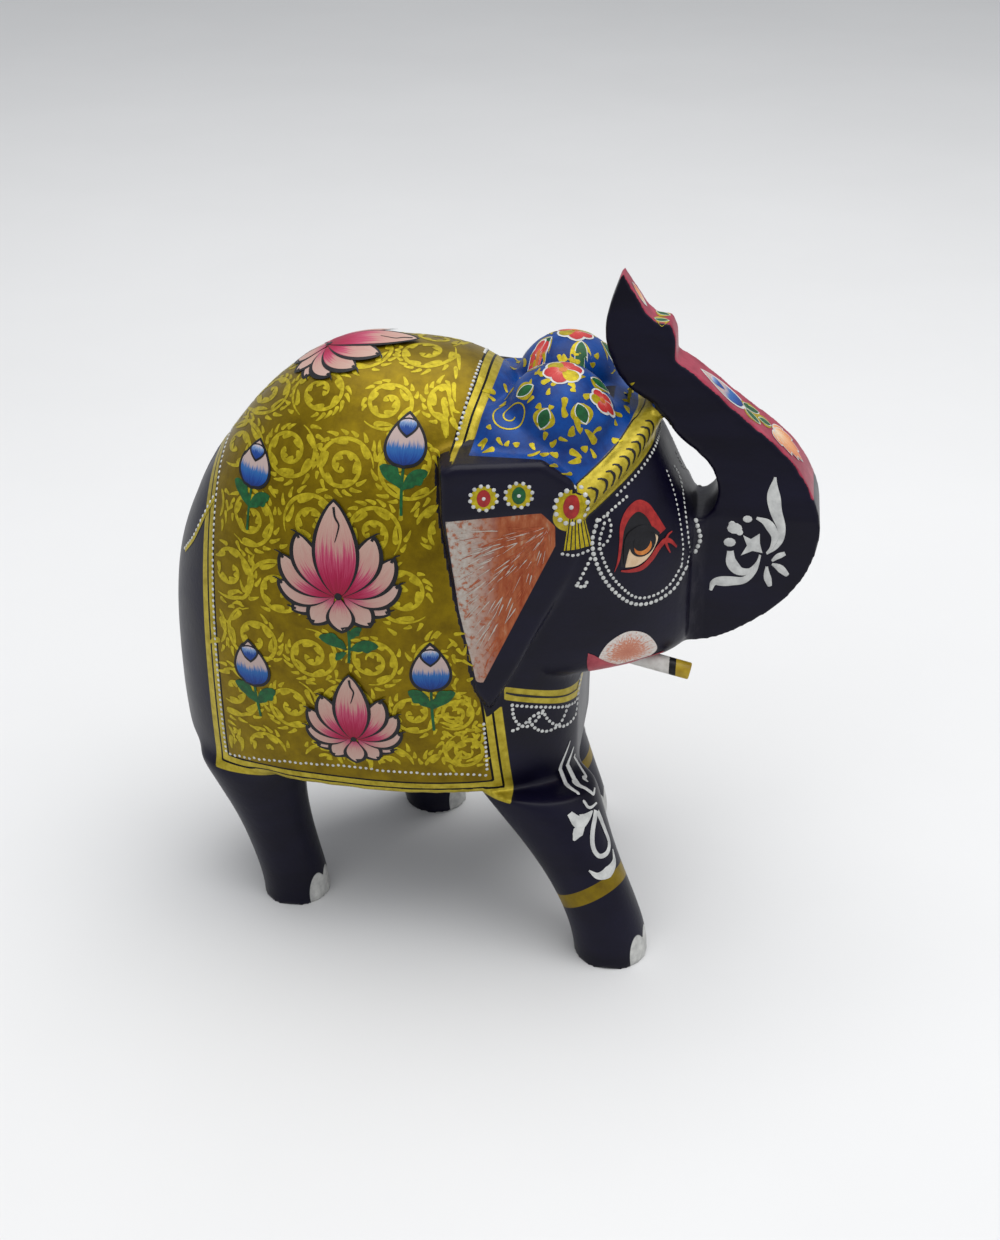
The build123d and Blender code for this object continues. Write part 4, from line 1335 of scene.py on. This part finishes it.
def red_face():
    """A blue bud with leaves, a hanging blossom, a small leaf pair and a petal at the tip."""
    upper = Face((81.0, 0, 206.5), (-14.9, 0, 12.3))
    lower = Face((105.0, 0, 187.0), (-13.1, 0, 14.0))
    tip = Face((51.5, 0, 238.5), (-8, 0, 13))
    shelf = Face((60.5, 0, 231.5), (-1, 0, 0.15))
    brush = Brush(upper, (0, -9.5), 1.0, 0, right=(1, 0), up=(0, 1))
    egg_shape(relief, brush, -1.0, 21.0, 5.6, 0.10)
    egg_shape(buds, brush, 0.2, 18.6, 4.6, 0.16, 0.04)
    egg_shape(bud_drops, brush, 15.5, 7.0, 2.4, 0.24, 0.03, True)
    for root, angle, length in ROOT_LEAVES:
        outlined_leaf(upper, root, angle, length, 1.6)
    petal_root = np.array([0, 8.0])
    for angle, length, half in FACE_PETALS:
        ahead = unit(math.radians(angle - 90))
        level = 0.12 + 0.02 * (90 - abs(angle)) / 15
        relief.blade(lower, petal_root + ahead * length * shares(16), half + 0.4, level)
        trunk_blooms.blade(lower, petal_root + ahead * (length - 0.8) * shares(16, 0.05), half, level + 0.03)
    for y in (-2.6, 2.6):
        outlined_leaf(shelf, (y, -1.5), 90 - y * 6, 5.5, 1.2)
    spine = (0, 10) * shares(16, -0.5, 0.5)
    relief.blade(tip, spine, 2.4, 0.12)
    trunk_blooms.blade(tip, spine[2:-1], 1.8, 0.16)


red_face()
for paint in ALL_PAINT:
    paint.build()


# ---- tusks: white with a black ring and a gold tip --------------------------------------------
def tusk_material():
    s = Shader("painted_tusk")
    along = s.split(s.place("Object"))["X"]
    shade = s.noise(240, 4)
    white = s.tones(shade, srgb(186, 182, 176), srgb(214, 212, 208))
    gold = s.tones(shade, srgb(150, 122, 22), srgb(186, 158, 44))
    tip = s.spread(along, 0.0698, 0.0702)
    ring = s.ramp(s.spread(along, 0.060, 0.080), (
        (0.0, (0, 0, 0, 1)), (0.40, (1, 1, 1, 1)), (0.52, (0, 0, 0, 1))), True)
    s.bump(s.noise(600, 3), 0.0001)
    return s.finish(s.mixed(ring, s.mixed(tip, white, gold), BLACK), 0.4)


def dowel_material():
    s = Shader("bare_dowel_wood")
    grain = s.noise(60, 6, 0.65, (1, 1, 0.1))
    colour = s.ramp(grain, ((0.3, srgb(150, 108, 66)), (0.5, srgb(186, 146, 98)), (0.7, srgb(204, 168, 122))))
    s.bump(s.noise(400, 4, 0.6, (1, 1, 0.1)), 0.0001)
    return s.finish(colour, s.spread(grain, 0.3, 0.7, 0.55, 0.7))


for names, material in ((("tusk_right", "tusk_left"), tusk_material()), (DOWEL_NODES, dowel_material())):
    for name in names:
        wear(bpy.data.objects[name], material)


# ---- camera, light and floor ---------------------------------------------------------------
CAMERA_AZIMUTH, CAMERA_ELEVATION, CAMERA_DISTANCE = math.radians(8), math.radians(28), 0.700
CAMERA_TARGET, CAMERA_LENS = Vector((0.004, 0.0, 0.111)), 54.87
WORLD_COLOUR, WORLD_STRENGTH = (0.9, 0.92, 0.95, 1), 0.55
LAMP_TARGET = Vector((0, 0, 0.11))
LAMPS = (("overhead", (0.15, 0.1, 1.5), 1.6, 20.0), ("key", (-0.5, -0.9, 1.2), 0.7, 2.0),
         ("fill", (1.2, -0.7, 0.8), 1.0, 1.6))  # name, place, width, power
FLOOR_HALF = 6.0


def look_at(obj, place, target):
    obj.location = place
    obj.rotation_mode = "QUATERNION"
    obj.rotation_quaternion = (target - Vector(place)).to_track_quat("-Z", "Y")


def studio():
    """Camera from the right and above, plain world, three soft lamps."""
    scene = bpy.context.scene
    lens = bpy.data.cameras.new("camera")
    lens.lens = CAMERA_LENS
    lens.clip_start, lens.clip_end = 0.01, 50
    scene.camera = in_scene("camera", lens)
    level = math.cos(CAMERA_ELEVATION)
    back = Vector((math.sin(CAMERA_AZIMUTH) * level, -math.cos(CAMERA_AZIMUTH) * level,
                   math.sin(CAMERA_ELEVATION)))
    look_at(scene.camera, CAMERA_TARGET + back * CAMERA_DISTANCE, CAMERA_TARGET)
    scene.view_settings.view_transform = "Standard"
    scene.world = bpy.data.worlds.new("studio")
    scene.world.use_nodes = True
    background = scene.world.node_tree.nodes["Background"].inputs
    background["Color"].default_value = WORLD_COLOUR
    background["Strength"].default_value = WORLD_STRENGTH
    for name, place, width, power in LAMPS:
        lamp = bpy.data.lights.new(name, "AREA")
        lamp.size, lamp.energy = width, power
        look_at(in_scene(name, lamp), place, LAMP_TARGET)


def floor():
    bm = bmesh.new()
    bmesh.ops.create_grid(bm, x_segments=8, y_segments=8, size=FLOOR_HALF)
    mesh = bpy.data.meshes.new("floor")
    bm.to_mesh(mesh)
    bm.free()
    obj = in_scene("floor", mesh)
    wear(obj, varied("pale_floor", srgb(226, 226, 226), srgb(229, 229, 229), 0.9, 0, 3, 0.0))


studio()
floor()
